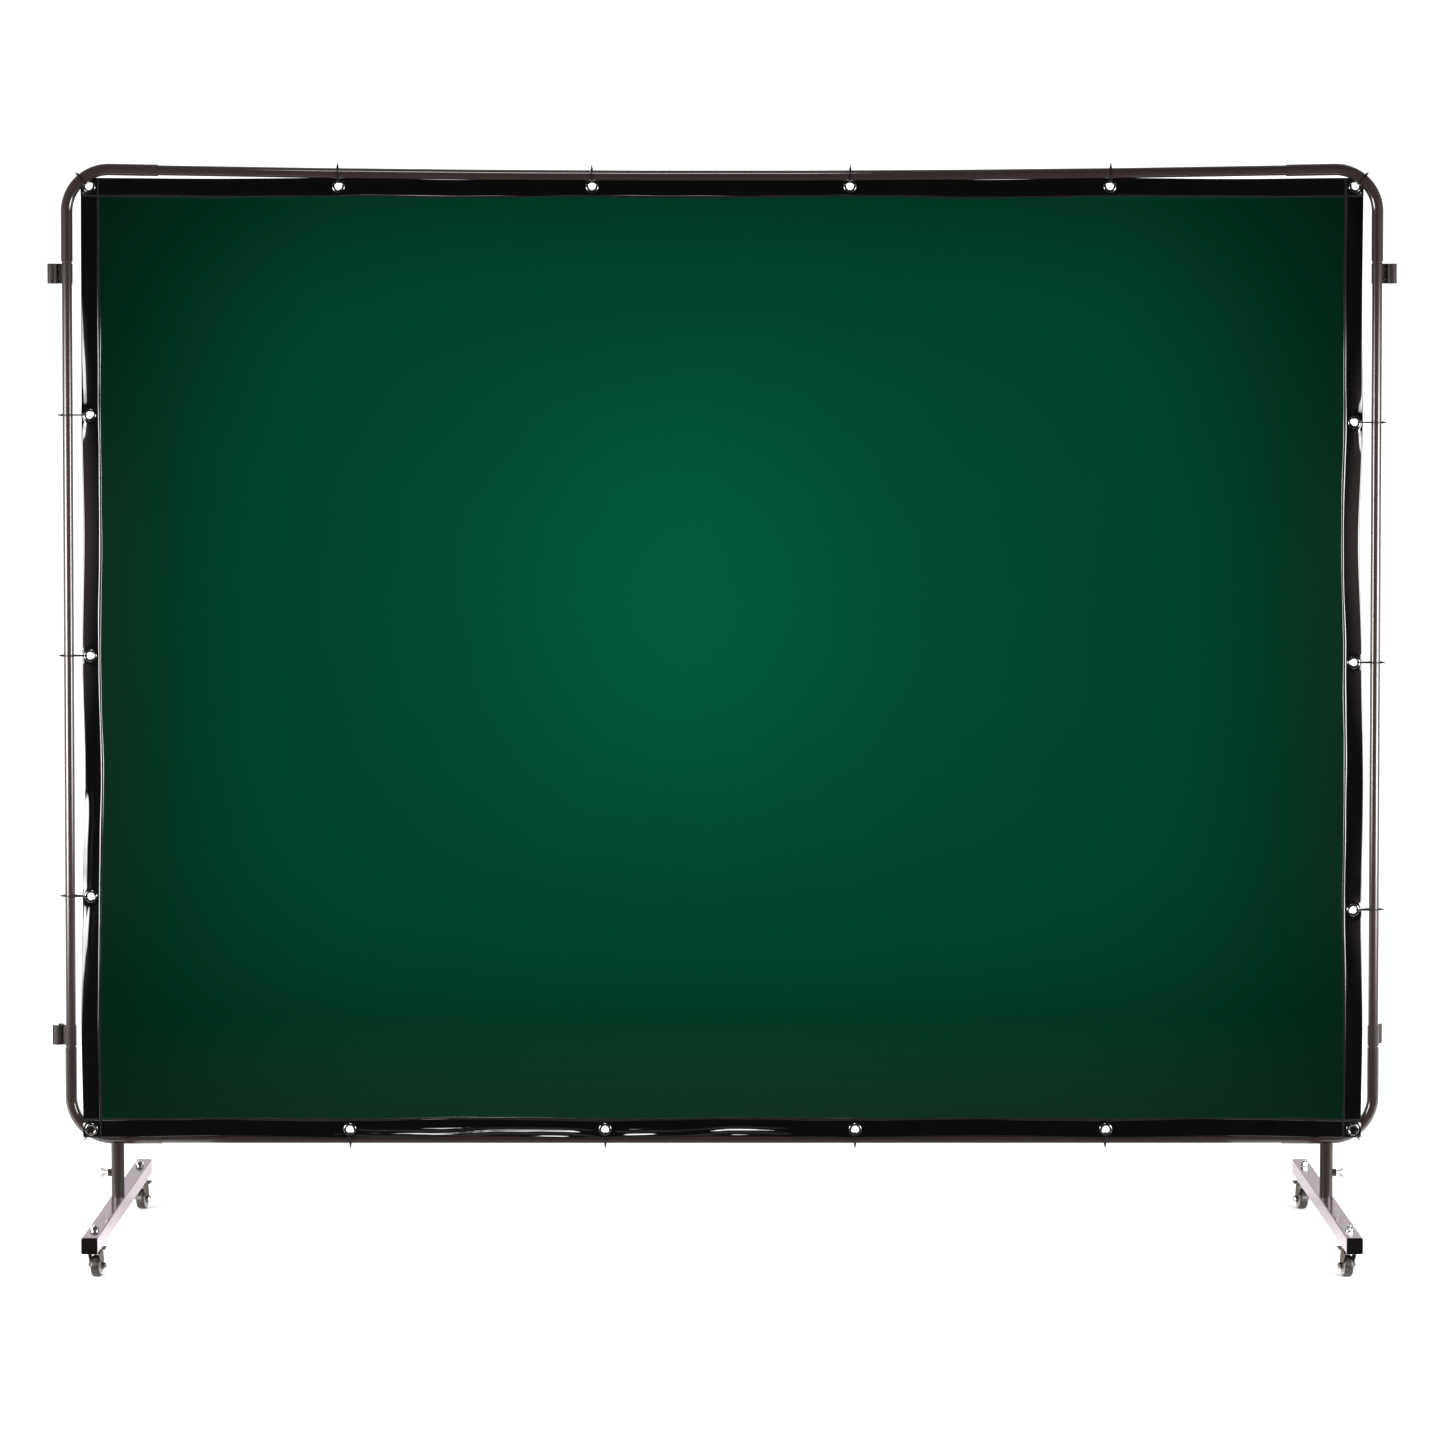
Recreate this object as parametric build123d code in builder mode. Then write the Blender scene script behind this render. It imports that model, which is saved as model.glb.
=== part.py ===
from build123d import *
import os
from math import atan, cos, hypot, pi, sin, sqrt, tan

# Welding curtain screen. Millimetres, +Z up, +X along the screen, -Y towards its front.
# The origin is on the floor, under the middle of the screen.

# ---------------------------------------------------------------- driving dimensions

# Frame tubes
FRAME_WIDTH = 2509.0        # over the side tubes
FRAME_HEIGHT = 1870.0       # over the top and bottom corner tubes
FRAME_BOTTOM = 191.0        # underside of the bottom corner tubes above the floor
CORNER_OD = 22.5
CORNER_WALL = 1.4
CORNER_REACH = 185.0        # from the frame's outer edge to the end of a corner tube
BEND_R = 80.0               # centre-line radius of a corner tube
RAIL_OD = 19.5
RAIL_WALL = 1.2
PLUG_LENGTH = 45.0          # rail inside the corner tube
TOP_SAG = 10.0              # sag of the top rail between its two corner tubes

# Legs
LEG_X = 1155.0
LEG_OD = 25.0
LEG_WALL = 1.5
LEG_COPE = 3.0              # how far the sleeve's coped top reaches up the corner tube
SCREW_Z = 136.0             # height of the wing screws
SCREW_D = 8.0
NUT_AF = 13.0               # across flats, M8
WELD_NUT_PROUD = 6.4
WING_REACH = 33.5           # tip of the wings from the leg's axis
WING_THICK = 2.4

# Feet
FOOT_LENGTH = 700.0
FOOT_SIDE = 30.0            # square tube
FOOT_WALL = 1.5
FOOT_EDGE_R = 2.5
FOOT_BOTTOM = 59.0          # which is also the height of a caster
CAP_THICK = 3.0
CAP_PLUG = 12.0
POST_TOP = 184.0
CASTER_Y = 285.0            # caster stems from the middle of the foot

# Casters
WHEEL_R = 20.0
TREAD = 17.0
TRAIL = 17.0                # axle behind the swivel axis
FORK_GAP = 20.0             # between the legs of the fork
FORK_THICK = 1.8
CROWN_Z = 50.0              # underside of the fork's crown
CROWN_THICK = 2.0
CROWN_R = 13.0
STEM_TOP = 99.0
KING_PIN_R = 3.5
BALL_R = 2.2
BALL_RING_R = 8.6
BALLS = 9
AXLE_D = 6.0
AXLE_AF = 10.0
PEDAL_PIVOT = (12.0, 45.0)  # behind the swivel axis, above the floor
PEDAL_TIP = (40.0, 50.0)
PEDAL_HALF_WIDTH = 12.0
TRUNNION_R = 1.5
SWIVEL_PLATE = 2.0          # thickness of the plate over the balls
RIM_R = 14.5                # outside of the wheel's core
SPACER_WALL = 1.2           # tube round the axle bolt

# Curtain
CURTAIN_WIDTH = 2438.0      # 8 ft
CURTAIN_HEIGHT = 1829.0     # 6 ft
CURTAIN_Z = 1120.0          # middle of the curtain above the floor
CURTAIN_LEAN = 14.5         # top edge behind, bottom edge in front of the frame's plane
SHEET_THICK = 0.4
HEM_WIDTH = 32.0
HEM_THICK = 1.4
EYELET_INSET = 16.0         # grommet centres from the curtain's edges
EYELET_R = 7.0
EYELET_FLANGE_R = 12.2
EYELET_WALL = 0.6
EYELET_HOLE_R = 7.8         # hole in the hem and the sheet, round a grommet's barrel
EYELET_WASHER = 0.9
HEM_FOLD = 1.0              # how far the hem's fold is outside the sheet's edge
TOP_STATIONS = (-729.0, -247.0, 243.0, 737.0)       # grommets between the corners, along X
BOTTOM_STATIONS = (-710.0, -223.0, 254.0, 732.0)
LEFT_STATIONS = (667.0, 1126.0, 1584.0)             # and along Z
RIGHT_STATIONS = (641.0, 1113.0, 1570.0)

# Cable ties
TIE_WIDTH = 2.6
TIE_THICK = 1.1
TIE_TAIL = 7.0
TIE_HEAD = (3.8, 4.6, 4.2)  # out from the tube, along the strap, across the strap
TIE_FACETS = 48             # flats round a tube

# Couplers
COUPLER_HEIGHT = 38.0
COUPLER_STRAP = 1.2
COUPLER_GAP = 4.5           # from the end of the corner tube
HOOK_X = 28.0               # centre of the hook from the rail's axis
HOOK_R = 9.9                # inside radius, for a neighbour's rail
HOOK_OPENING = 60.0         # degrees from straight outward to each end of the hook's arc
HOOK_TIP = 36.0
RIVET_X = 13.97
RIVET_Z = 9.5               # above and below mid-height
RIVET_R = 1.9

# Fits
FIT = 0.1                   # radial clearance of plugged, threaded and turning pieces
TOUCH = 0.05                # between pieces that are welded or pressed together
RUN_GAP = 0.3               # between faces that turn past each other

# ---------------------------------------------------------------- derived places

AXIS_X = (FRAME_WIDTH - CORNER_OD) / 2
AXIS_BOTTOM = FRAME_BOTTOM + CORNER_OD / 2
AXIS_TOP = FRAME_BOTTOM + FRAME_HEIGHT - CORNER_OD / 2
REACH = CORNER_REACH - CORNER_OD / 2
JOINT_X = AXIS_X - REACH
DROOP = 2 * atan(TOP_SAG / JOINT_X)                 # slope of the top rail at its joints
FOOT_TOP = FOOT_BOTTOM + FOOT_SIDE
LEAN = atan(2 * CURTAIN_LEAN / CURTAIN_HEIGHT)
CURTAIN = Plane(origin=(0, 0, CURTAIN_Z), x_dir=(1, 0, 0), z_dir=(0, -cos(LEAN), sin(LEAN)))
FORK_HALF = FORK_GAP / 2 + FORK_THICK

SIDES = (("left", -1), ("right", 1))
LEVELS = (("bottom", -1), ("top", 1))
ENDS = (("front", -1), ("rear", 1))
CASTER_YAW = {"front_left": 6.0, "rear_left": 10.0, "front_right": 7.0, "rear_right": 9.0}
COUPLER_ANGLE = {"top_left": 0.0, "top_right": 0.0, "bottom_left": 26.0, "bottom_right": 69.0}


def save(part, name):
    """Write one finished piece, or one group of identical pieces."""
    part.label = name
    export_step(part, f"parts/{name}.step")


def place(piece, name, *spots):
    """Write a piece that was built at the origin, once at each of the spots."""
    with BuildPart() as placed:
        with Locations(*spots):
            add(piece)
    save(placed.part, name)


# ---------------------------------------------------------------- frame

def round_tube(path, outer_d, wall):
    """A round tube swept along a path."""
    with BuildPart() as tube:
        with BuildSketch(Plane(path @ 0, z_dir=path % 0)):
            Circle(outer_d / 2)
            Circle(outer_d / 2 - wall, mode=Mode.SUBTRACT)
        sweep(path=path)
    return tube.part


def link_outline(*circles):
    """Outline round two circles, each given as (x, y, radius)."""
    with BuildSketch() as outline:
        for x, y, radius in circles:
            with Locations((x, y)):
                Circle(radius)
        make_hull()
    return outline.sketch


def bend_centre(side, level):
    """Centre of a corner tube's bend, as X and Z."""
    axis_z = AXIS_TOP if level > 0 else AXIS_BOTTOM
    return side * (AXIS_X - BEND_R), axis_z - level * BEND_R


def bend_point(side, level, angle):
    """Point on a bend's centre line, the angle counted from the side tube."""
    x, z = bend_centre(side, level)
    return x + side * BEND_R * cos(angle), z + level * BEND_R * sin(angle)


def corner_joint(side, level):
    """Where a corner tube ends and the top or bottom rail comes out of it."""
    droop = DROOP if level > 0 else 0.0
    x, z = bend_point(side, level, pi / 2 + droop)
    run = (abs(x) - JOINT_X) / cos(droop)
    return side * JOINT_X, z - level * run * sin(droop)


def corner_tube(side, level):
    turn = pi / 2 + (DROOP if level > 0 else 0.0)
    start, middle, end = (bend_point(side, level, a) for a in (0.0, turn / 2, turn))
    with BuildLine(Plane.XZ) as path:
        Line((start[0], start[1] - level * (REACH - BEND_R)), start)
        ThreePointArc(start, middle, end)
        Line(end, corner_joint(side, level))
    return round_tube(path.line, CORNER_OD, CORNER_WALL)


def top_rail():
    x, z = corner_joint(1, 1)
    plug_x, plug_z = x + PLUG_LENGTH * cos(DROOP), z + PLUG_LENGTH * sin(DROOP)
    with BuildLine(Plane.XZ) as path:
        Line((-plug_x, plug_z), (-x, z))
        ThreePointArc((-x, z), (0, z - TOP_SAG), (x, z))
        Line((x, z), (plug_x, plug_z))
    return round_tube(path.line, RAIL_OD, RAIL_WALL)


def bottom_rail():
    half = JOINT_X + PLUG_LENGTH
    with BuildLine(Plane.XZ) as path:
        Line((-half, AXIS_BOTTOM), (half, AXIS_BOTTOM))
    return round_tube(path.line, RAIL_OD, RAIL_WALL)


def side_rail(side):
    low = AXIS_BOTTOM + REACH - PLUG_LENGTH
    high = AXIS_TOP - REACH + PLUG_LENGTH
    with BuildLine(Plane.XZ) as path:
        Line((side * AXIS_X, low), (side * AXIS_X, high))
    return round_tube(path.line, RAIL_OD, RAIL_WALL)


# ---------------------------------------------------------------- legs and wing screws

def leg_sleeve(side):
    with BuildPart() as sleeve:
        with BuildSketch(Plane.XY.offset(FOOT_TOP + RUN_GAP)):
            with Locations((side * LEG_X, 0)):
                Circle(LEG_OD / 2)
                Circle(LEG_OD / 2 - LEG_WALL, mode=Mode.SUBTRACT)
        extrude(amount=FRAME_BOTTOM + LEG_COPE - FOOT_TOP - RUN_GAP)
        with BuildSketch(Plane.YZ.offset(side * LEG_X)):            # saddle for the corner tube
            with Locations((0, AXIS_BOTTOM)):
                Circle(CORNER_OD / 2 + TOUCH)
        extrude(amount=LEG_OD, both=True, mode=Mode.SUBTRACT)
        with BuildSketch(Plane.YZ.offset(side * LEG_X)):            # clearance hole for the screw
            with Locations((0, SCREW_Z)):
                Circle(SCREW_D / 2 + RUN_GAP)
        extrude(amount=side * LEG_OD, mode=Mode.SUBTRACT)
    return sleeve.part


def weld_nut(side):
    buried = 2.0
    with BuildPart() as nut:
        with BuildSketch(Plane.YZ.offset(side * (LEG_X + LEG_OD / 2 - buried))):
            with Locations((0, SCREW_Z)):
                RegularPolygon(NUT_AF / 2, 6, major_radius=False)
                Circle(SCREW_D / 2 + FIT, mode=Mode.SUBTRACT)
        extrude(amount=side * (buried + WELD_NUT_PROUD))
        with BuildSketch(Plane.XY.offset(SCREW_Z)):
            with Locations((side * LEG_X, 0)):
                Circle(LEG_OD / 2 + TOUCH)
        extrude(amount=NUT_AF, both=True, mode=Mode.SUBTRACT)
    return nut.part


def wing_screw(side):
    """The shank points at the foot's post, the two ears stand in the plane of the frame."""
    tip = LEG_OD / 2 - LEG_WALL                 # the post's surface is a fit's clearance further in
    hub_start = LEG_OD / 2 + WELD_NUT_PROUD + RUN_GAP
    hub_length, hub_r, hub_taper = 5.0, 5.0, 8.0
    ear_r, ear_root, ear_spread = 3.0, 1.5, 6.2
    with BuildPart() as screw:
        with BuildSketch(Plane.YZ.offset(side * (LEG_X + tip))):
            with Locations((0, SCREW_Z)):
                Circle(SCREW_D / 2)
        extrude(amount=side * (hub_start - tip))
        with BuildSketch(Plane.YZ.offset(side * (LEG_X + hub_start))):
            with Locations((0, SCREW_Z)):
                Circle(hub_r)
        extrude(amount=side * hub_length, taper=hub_taper)
        for up in (-1, 1):
            root = (side * (LEG_X + hub_start + ear_r), SCREW_Z + up * ear_root, ear_r)
            tip_end = (side * (LEG_X + WING_REACH - ear_r), SCREW_Z + up * ear_spread, ear_r)
            with BuildSketch(Plane.XZ):
                add(link_outline(root, tip_end))
            extrude(amount=WING_THICK / 2, both=True)
    return screw.part


# ---------------------------------------------------------------- feet

def foot_tube(side):
    with BuildPart() as tube:
        with BuildSketch(Plane.XZ):
            with Locations((side * LEG_X, FOOT_TOP - FOOT_SIDE / 2)):
                RectangleRounded(FOOT_SIDE, FOOT_SIDE, FOOT_EDGE_R)
                inside = FOOT_SIDE - 2 * FOOT_WALL
                RectangleRounded(inside, inside, FOOT_EDGE_R - FOOT_WALL, mode=Mode.SUBTRACT)
        extrude(amount=FOOT_LENGTH / 2 - CAP_THICK, both=True)
        with BuildSketch(Plane.XY.offset(FOOT_BOTTOM)):
            with Locations((side * LEG_X, -CASTER_Y), (side * LEG_X, CASTER_Y)):
                Circle(SCREW_D / 2 + RUN_GAP)
        extrude(amount=FOOT_SIDE, mode=Mode.SUBTRACT)
    return tube.part


def foot_post(side):
    outer = LEG_OD - 2 * LEG_WALL - 2 * FIT
    with BuildPart() as post:
        with BuildSketch(Plane.XY.offset(FOOT_TOP)):
            with Locations((side * LEG_X, 0)):
                Circle(outer / 2)
                Circle(outer / 2 - LEG_WALL, mode=Mode.SUBTRACT)
        extrude(amount=POST_TOP - FOOT_TOP)
    return post.part


def end_cap():
    """Cap for one end of the foot tube, built at the origin with its face towards -Y."""
    plug = FOOT_SIDE - 2 * FOOT_WALL - 2 * RUN_GAP
    corner_r, face_r, plug_r, rib = 3.5, 1.4, 1.0, 2.0
    with BuildPart() as cap:
        with BuildSketch(Plane.XZ):
            RectangleRounded(FOOT_SIDE, FOOT_SIDE, corner_r)
        extrude(amount=CAP_THICK)
        fillet(cap.edges().filter_by(Plane.XZ).group_by(Axis.Y)[0], face_r)
        with BuildSketch(Plane.XZ):
            RectangleRounded(plug, plug, plug_r)
            RectangleRounded(plug - 2 * rib, plug - 2 * rib, plug_r / 2, mode=Mode.SUBTRACT)
        extrude(amount=-CAP_PLUG)
    return cap.part


# ---------------------------------------------------------------- casters

def caster_stem():
    """Stem, swivel plate and king pin, built with the swivel axis on Z and the floor at 0."""
    plate_r, race_r, pin_head_r = CROWN_R + 1, CROWN_R - 2, 5.6
    pin_top, pin_low, bevel = CROWN_Z - RUN_GAP, CROWN_Z - 2.4, 1.0
    race_low = CROWN_Z + CROWN_THICK + 2 * BALL_R + 3 * TOUCH
    plate_low = FOOT_BOTTOM - SWIVEL_PLATE
    profile = (
        (0, STEM_TOP), (SCREW_D / 2, STEM_TOP), (SCREW_D / 2, FOOT_BOTTOM), (plate_r, FOOT_BOTTOM),
        (plate_r, plate_low), (race_r, plate_low), (race_r, race_low), (KING_PIN_R, race_low),
        (KING_PIN_R, pin_top), (pin_head_r, pin_top), (pin_head_r, pin_low + bevel),
        (pin_head_r - bevel, pin_low), (0, pin_low),
    )
    with BuildPart() as stem:
        with BuildSketch(Plane.XZ):
            with BuildLine():
                Polyline(*profile, close=True)
            make_face()
        revolve(axis=Axis.Z)
    return stem.part


def stem_nut():
    """Washer and nut that hold a stem on top of the foot."""
    washer_r, washer_thick = 8.5, 1.6
    nut_thick, nut_turn = 6.4, 12.0
    with BuildPart() as fastener:
        with BuildSketch(Plane.XY.offset(FOOT_TOP)):
            Circle(washer_r)
            Circle(SCREW_D / 2 + FIT, mode=Mode.SUBTRACT)
        extrude(amount=washer_thick)
        with BuildSketch(Plane.XY.offset(FOOT_TOP + washer_thick + TOUCH)):
            RegularPolygon(NUT_AF / 2, 6, major_radius=False, rotation=nut_turn)
            Circle(SCREW_D / 2 + FIT, mode=Mode.SUBTRACT)
        extrude(amount=nut_thick)
    return fastener.part


def ball_ring():
    with BuildPart() as ring:
        with Locations((0, 0, CROWN_Z + CROWN_THICK + BALL_R + TOUCH)):
            with PolarLocations(BALL_RING_R, BALLS):
                Sphere(BALL_R)
    return ring.part


def fork():
    """Crown with a dust ring over the balls, and two legs down to the axle behind it."""
    shoulder_r, leg_front, leg_back = 2.5, -8.0, 18.5
    leg_middle, leg_width = (leg_front + leg_back) / 2, leg_back - leg_front
    top_corners = [(y, CROWN_Z - shoulder_r, shoulder_r)
                   for y in (leg_front + shoulder_r, leg_back - shoulder_r)]
    axle_boss = (TRAIL, WHEEL_R, 6.5)
    plate_front, plate_back, ring_wall = -8.0, 16.0, 1.2
    with BuildPart() as stamped:
        with BuildSketch(Plane.XY.offset(CROWN_Z)):
            Circle(CROWN_R)
            with Locations((0, (plate_front + plate_back) / 2)):
                Rectangle(2 * FORK_HALF, plate_back - plate_front)
            Circle(KING_PIN_R + FIT, mode=Mode.SUBTRACT)
        extrude(amount=CROWN_THICK)
        with BuildSketch(Plane.XY.offset(CROWN_Z + CROWN_THICK)):
            Circle(CROWN_R)
            Circle(CROWN_R - ring_wall, mode=Mode.SUBTRACT)
        extrude(amount=FOOT_BOTTOM - SWIVEL_PLATE - 2 * RUN_GAP - CROWN_Z - CROWN_THICK)
        for out in (-1, 1):
            with BuildSketch(Plane.YZ.offset(out * FORK_GAP / 2)):
                for corner in top_corners:
                    add(link_outline(axle_boss, corner))
                add(link_outline(*top_corners))
                with BuildLine():
                    Polyline(axle_boss[:2], top_corners[0][:2], top_corners[1][:2], close=True)
                make_face()
                with Locations((leg_middle, CROWN_Z + CROWN_THICK / 2 - shoulder_r / 2)):
                    Rectangle(leg_width, CROWN_THICK + shoulder_r)
                with Locations(axle_boss[:2]):
                    Circle(AXLE_D / 2 + FIT, mode=Mode.SUBTRACT)
                with Locations(PEDAL_PIVOT):
                    Circle(TRUNNION_R + FIT, mode=Mode.SUBTRACT)
            extrude(amount=out * FORK_THICK)
    return stamped.part


def wheel_core():
    """Plastic centre of the wheel, built round the X axis."""
    hub_r, web_r, draft = 7.5, 12.0, 0.8
    bore_r = AXLE_D / 2 + SPACER_WALL + FIT
    half_hub, half_web, half_rim = FORK_GAP / 2 - 0.7, 2.5, TREAD / 2 - 0.3
    right_half = (
        (half_rim, RIM_R), (half_rim, web_r + draft), (half_web, web_r), (half_web, hub_r),
        (half_hub, hub_r - draft), (half_hub, bore_r),
    )
    outline = right_half + tuple((-x, r) for x, r in reversed(right_half))
    with BuildPart() as core:
        with BuildSketch(Plane.XY):
            with BuildLine():
                Polyline(*outline, close=True)
            make_face()
        revolve(axis=Axis.X)
    return core.part


def tyre():
    """Solid tyre with rounded shoulders, built round the X axis."""
    inner, half = RIM_R + TOUCH, TREAD / 2
    seat, flank, tread = (half - 0.8, inner), (half, 16.6), (half - 4.5, WHEEL_R)
    round_off = (half - 1.6, 19.1)

    def mirrored(point):
        return -point[0], point[1]

    with BuildPart() as ring:
        with BuildSketch(Plane.XY):
            with BuildLine():
                Polyline(mirrored(flank), mirrored(seat), seat, flank)
                ThreePointArc(flank, round_off, tread)
                Line(tread, mirrored(tread))
                ThreePointArc(mirrored(tread), mirrored(round_off), mirrored(flank))
            make_face()
        revolve(axis=Axis.X)
    return ring.part


def axle_set(nut_side):
    """Bolt, spacer tube and nut along the X axis; nut_side says which end has the nut."""
    head_thick, nut_thick, nut_turn, end_proud = 4.0, 5.0, 20.0, 1.2
    head = Plane.YZ.offset(-nut_side * (FORK_HALF + TOUCH))
    with BuildPart() as bolt:
        with BuildSketch(head):
            RegularPolygon(AXLE_AF / 2, 6, major_radius=False)
        extrude(amount=-nut_side * head_thick)
        with BuildSketch(head):
            Circle(AXLE_D / 2)
        extrude(amount=nut_side * (2 * FORK_HALF + nut_thick + end_proud))
    with BuildPart() as nut:
        with BuildSketch(Plane.YZ.offset(nut_side * (FORK_HALF + TOUCH))):
            RegularPolygon(AXLE_AF / 2, 6, major_radius=False, rotation=nut_turn)
            Circle(AXLE_D / 2 + FIT, mode=Mode.SUBTRACT)
        extrude(amount=nut_side * nut_thick)
    with BuildPart() as spacer:
        with BuildSketch(Plane.YZ):
            Circle(AXLE_D / 2 + SPACER_WALL)
            Circle(AXLE_D / 2 + FIT, mode=Mode.SUBTRACT)
        extrude(amount=FORK_GAP / 2 - TOUCH, both=True)
    with BuildPart() as axle:
        add([bolt.part, nut.part, spacer.part])
    return axle.part


def brake_pedal():
    """Lever on two trunnions in the fork's legs, with a brake shoe under it and a broad tip."""
    inner_half = FORK_GAP / 2 - 2 * RUN_GAP
    pivot_boss, shoe, plate_r = (*PEDAL_PIVOT, 2.8), (18.0, 43.8, 1.8), 1.3
    slope = (PEDAL_TIP[1] - PEDAL_PIVOT[1]) / (PEDAL_TIP[0] - PEDAL_PIVOT[0])
    root, neck = (PEDAL_PIVOT[0] + 1.0, PEDAL_PIVOT[1] + 1.4, plate_r), 26.5
    paddle_z = PEDAL_PIVOT[1] + slope * (neck - PEDAL_PIVOT[0]) + 0.4
    with BuildPart() as pedal:
        for outline, half_width in (
            (link_outline(pivot_boss, shoe), inner_half),
            (link_outline(root, (neck + 1.0, paddle_z, plate_r)), inner_half),
            (link_outline((neck, paddle_z, plate_r), (*PEDAL_TIP, plate_r)), PEDAL_HALF_WIDTH),
        ):
            with BuildSketch(Plane.YZ):
                add(outline)
            extrude(amount=half_width, both=True)
        with BuildSketch(Plane.YZ):
            with Locations(PEDAL_PIVOT):
                Circle(TRUNNION_R)
        extrude(amount=FORK_HALF + RUN_GAP, both=True)
    return pedal.part


# ---------------------------------------------------------------- curtain

def curtain_v(z):
    """Distance up the curtain's own plane of a point at a height above the floor."""
    return (z - CURTAIN_Z) / cos(LEAN)


def grommet_spots():
    """Grommet centres in the curtain's own plane."""
    u = CURTAIN_WIDTH / 2 - EYELET_INSET
    v = CURTAIN_HEIGHT / 2 - EYELET_INSET
    spots = [(x, y) for x in (-u, u) for y in (-v, v)]
    spots += [(x, v) for x in TOP_STATIONS] + [(x, -v) for x in BOTTOM_STATIONS]
    spots += [(-u, curtain_v(z)) for z in LEFT_STATIONS]
    spots += [(u, curtain_v(z)) for z in RIGHT_STATIONS]
    return spots


def curtain_sheet():
    with BuildPart() as sheet:
        with BuildSketch(CURTAIN):
            Rectangle(CURTAIN_WIDTH - 2 * HEM_FOLD, CURTAIN_HEIGHT - 2 * HEM_FOLD)
            with Locations(*grommet_spots()):
                Circle(EYELET_HOLE_R, mode=Mode.SUBTRACT)
        extrude(amount=SHEET_THICK / 2, both=True)
    return sheet.part


def curtain_hem():
    """Four strips, each folded over one edge of the sheet."""
    mid_u = (CURTAIN_WIDTH - HEM_WIDTH) / 2
    mid_v = (CURTAIN_HEIGHT - HEM_WIDTH) / 2
    with BuildPart() as hem:
        with BuildSketch(CURTAIN):
            with Locations((0, mid_v), (0, -mid_v)):
                Rectangle(CURTAIN_WIDTH, HEM_WIDTH)
            with Locations((mid_u, 0), (-mid_u, 0)):
                Rectangle(HEM_WIDTH, CURTAIN_HEIGHT - 2 * HEM_WIDTH - 2 * FIT)
            with Locations(*grommet_spots()):
                Circle(EYELET_HOLE_R, mode=Mode.SUBTRACT)
        extrude(amount=HEM_THICK / 2, both=True)
        with BuildSketch(CURTAIN):
            pocket = 2 * (HEM_FOLD - FIT)
            Rectangle(CURTAIN_WIDTH - pocket, CURTAIN_HEIGHT - pocket)
        extrude(amount=SHEET_THICK / 2 + TOUCH / 2, both=True, mode=Mode.SUBTRACT)
    return hem.part


def eyelet():
    """Grommet with a domed flange in front and a rolled lip behind the washer, round the Z axis."""
    front, back = HEM_THICK / 2 + TOUCH, -(HEM_THICK / 2 + EYELET_WASHER + 2 * TOUCH)
    barrel_r, lip_r, roll = EYELET_R + EYELET_WALL, EYELET_R + 2.0, 0.5
    crown = (9.4, front + 1.3)
    with BuildPart() as ring:
        with BuildSketch(Plane.XZ):
            with BuildLine():
                Polyline(
                    (EYELET_R, front + roll), (EYELET_R, back - roll), (lip_r, back - roll), (lip_r, back),
                    (barrel_r, back), (barrel_r, front), (EYELET_FLANGE_R, front),
                )
                ThreePointArc((EYELET_FLANGE_R, front), crown, (EYELET_R, front + roll))
            make_face()
        revolve(axis=Axis.Z)
    return ring.part


def eyelet_washer():
    with BuildPart() as washer:
        with BuildSketch(Plane.XY.offset(-(HEM_THICK / 2 + TOUCH))):
            Circle(EYELET_FLANGE_R - 0.4)
            Circle(EYELET_R + EYELET_WALL + FIT, mode=Mode.SUBTRACT)
        extrude(amount=-EYELET_WASHER)
    return washer.part


def taut_outline(circles, grow):
    """Outline of a strap pulled tight round circles, each given as (x, y, radius)."""
    points = []
    for x, y, radius in circles:
        count = TIE_FACETS if radius > RAIL_OD / 2 else TIE_FACETS // 4
        reach = (radius + grow) / cos(pi / count)
        points += [(x + reach * cos(2 * pi * k / count), y + reach * sin(2 * pi * k / count))
                   for k in range(count)]
    outline = []
    for ordered in (sorted(points), sorted(points, reverse=True)):
        chain = []
        for point in ordered:
            while len(chain) > 1 and turns_right(chain[-2], chain[-1], point):
                chain.pop()
            chain.append(point)
        outline += chain[:-1]
    return outline


def turns_right(a, b, c):
    return (b[0] - a[0]) * (c[1] - a[1]) - (b[1] - a[1]) * (c[0] - a[0]) <= 1e-9


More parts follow.
